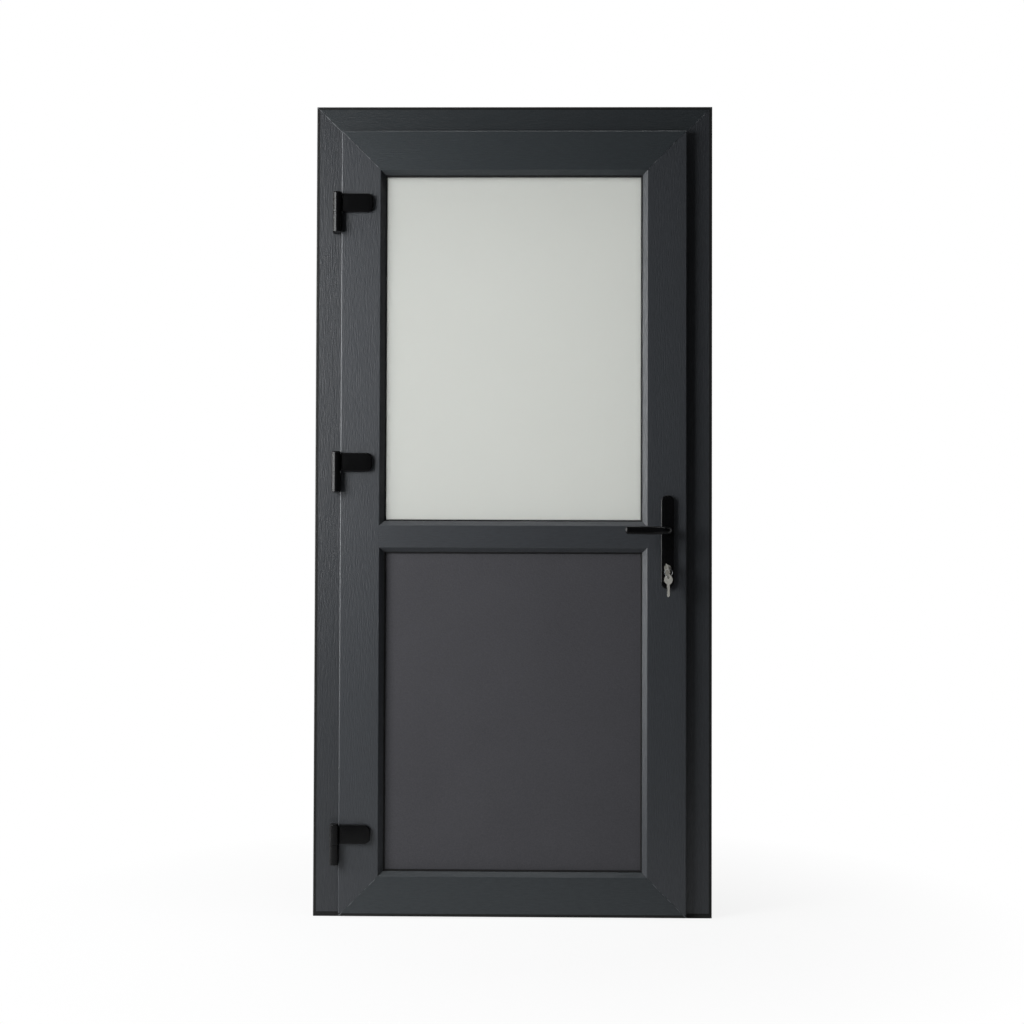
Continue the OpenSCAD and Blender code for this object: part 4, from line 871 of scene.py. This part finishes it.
floor_finish, tree, shader, place = new_finish("studio_floor")
fill(tree, shader, {"Base Color": FLOOR_COLOUR, "Roughness": 0.9, "Specular IOR Level": 0.1})
path = add_node(tree, "ShaderNodeLightPath").outputs
distance = add_node(tree, "ShaderNodeVectorMath", {0: place}, operation="LENGTH").outputs["Value"]
whiteness = remap(tree, distance, NEAR_DOOR, FAR_FROM_DOOR, GLOW_NEAR, GLOW_FAR)
depth = add_node(tree, "ShaderNodeSeparateXYZ", {0: place}).outputs["Y"]
behind = remap(tree, depth, 0.0, 0.5, 0.0, 1.0)
mirrored = math_node(tree, "MULTIPLY", path["Is Glossy Ray"], behind)
seen = math_node(tree, "MAXIMUM", path["Is Camera Ray"], path["Is Transmission Ray"])
share = math_node(tree, "MULTIPLY", math_node(tree, "MAXIMUM", seen, mirrored), whiteness)
white = add_node(tree, "ShaderNodeEmission", {"Color": WHITE, "Strength": 1.0})
mixed = add_node(tree, "ShaderNodeMixShader", {0: share, 1: shader.outputs[0], 2: white.outputs[0]})
tree.links.new(mixed.outputs[0], tree.nodes["Material Output"].inputs["Surface"])
floor_mesh.materials.append(floor_finish)
print("floor", 2 * FLOOR_HALF, "m square")

# %% [markdown]
# ## The air
#
# An even white sky would fill every shadow and take the shape out of the bevels. The air is
# therefore white only where the camera sees it, or where glass and polished metal look to the back
# of the studio, and grey and weak for everything that it lights.

# %% White air that lights little
AIR_LIGHT = 0.04
AIR_COLOUR = (0.93, 0.96, 1.0, 1.0)

world = bpy.data.worlds.new("studio_air")
bpy.context.scene.world = world
world.use_nodes = True
tree = world.node_tree
direction = add_node(tree, "ShaderNodeTexCoord").outputs["Generated"]
facing = add_node(tree, "ShaderNodeSeparateXYZ", {0: direction}).outputs["Y"]
behind = remap(tree, facing, 0.1, 0.5, 0.0, 1.0)
path = add_node(tree, "ShaderNodeLightPath").outputs
through = math_node(tree, "MAXIMUM", path["Is Transmission Ray"], path["Is Glossy Ray"])
seen = math_node(tree, "MAXIMUM", path["Is Camera Ray"], math_node(tree, "MULTIPLY", through, behind))
dim = tree.nodes["Background"]
fill(tree, dim, {"Color": AIR_COLOUR, "Strength": AIR_LIGHT})
white = add_node(tree, "ShaderNodeBackground", {"Color": WHITE, "Strength": 1.0})
mixed = add_node(tree, "ShaderNodeMixShader", {0: seen, 1: dim.outputs[0], 2: white.outputs[0]})
tree.links.new(mixed.outputs[0], tree.nodes["World Output"].inputs["Surface"])
print("air lights with a strength of", AIR_LIGHT)

# %% [markdown]
# ## The lamps
#
# One broad lamp on the left does most of the work, so that the leaf throws its narrow shadow on the
# right of the frame. Two slim ones lie almost in the plane of the door, one beside it and one
# above: they hardly reach the flat faces, but every bevel and edge that turns towards them lights
# up. A last one behind glows through the satin glass.


# %% Four soft lamps
DAYLIGHT = (0.98, 0.99, 1.0)


def area_lamp(name, location, target, size, watts, colour, spread=180.0):
    """A soft rectangular lamp aimed at a point."""
    data = bpy.data.lights.new(name, "AREA")
    data.shape = "RECTANGLE"
    data.size, data.size_y = size
    data.energy = watts
    data.color = colour
    data.spread = math.radians(spread)
    lamp = bpy.data.objects.new(name, data)
    bpy.context.scene.collection.objects.link(lamp)
    lamp.location = location
    lamp.rotation_euler = (Vector(target) - Vector(location)).to_track_quat("-Z", "Y").to_euler()
    print(name, watts, "W")


area_lamp("left_window", (-1.9, -1.45, 1.6), (0.0, -0.05, 1.1), (1.1, 1.6), 42.0, DAYLIGHT, 130.0)
area_lamp("ceiling", (0.0, -0.26, 3.4), (0.0, -0.06, 1.0), (1.6, 0.2), 4.0, DAYLIGHT, 90.0)
area_lamp("left_edge", (-2.3, -0.25, 1.2), (0.0, -0.06, 1.1), (0.3, 2.0), 14.0, DAYLIGHT, 110.0)
area_lamp("room_behind", (-0.15, 1.7, 1.6), (0.0, 0.0, 1.45), (1.5, 1.3), 1.9, (1.0, 1.0, 1.0))
bpy.context.scene.view_settings.view_transform = "Standard"
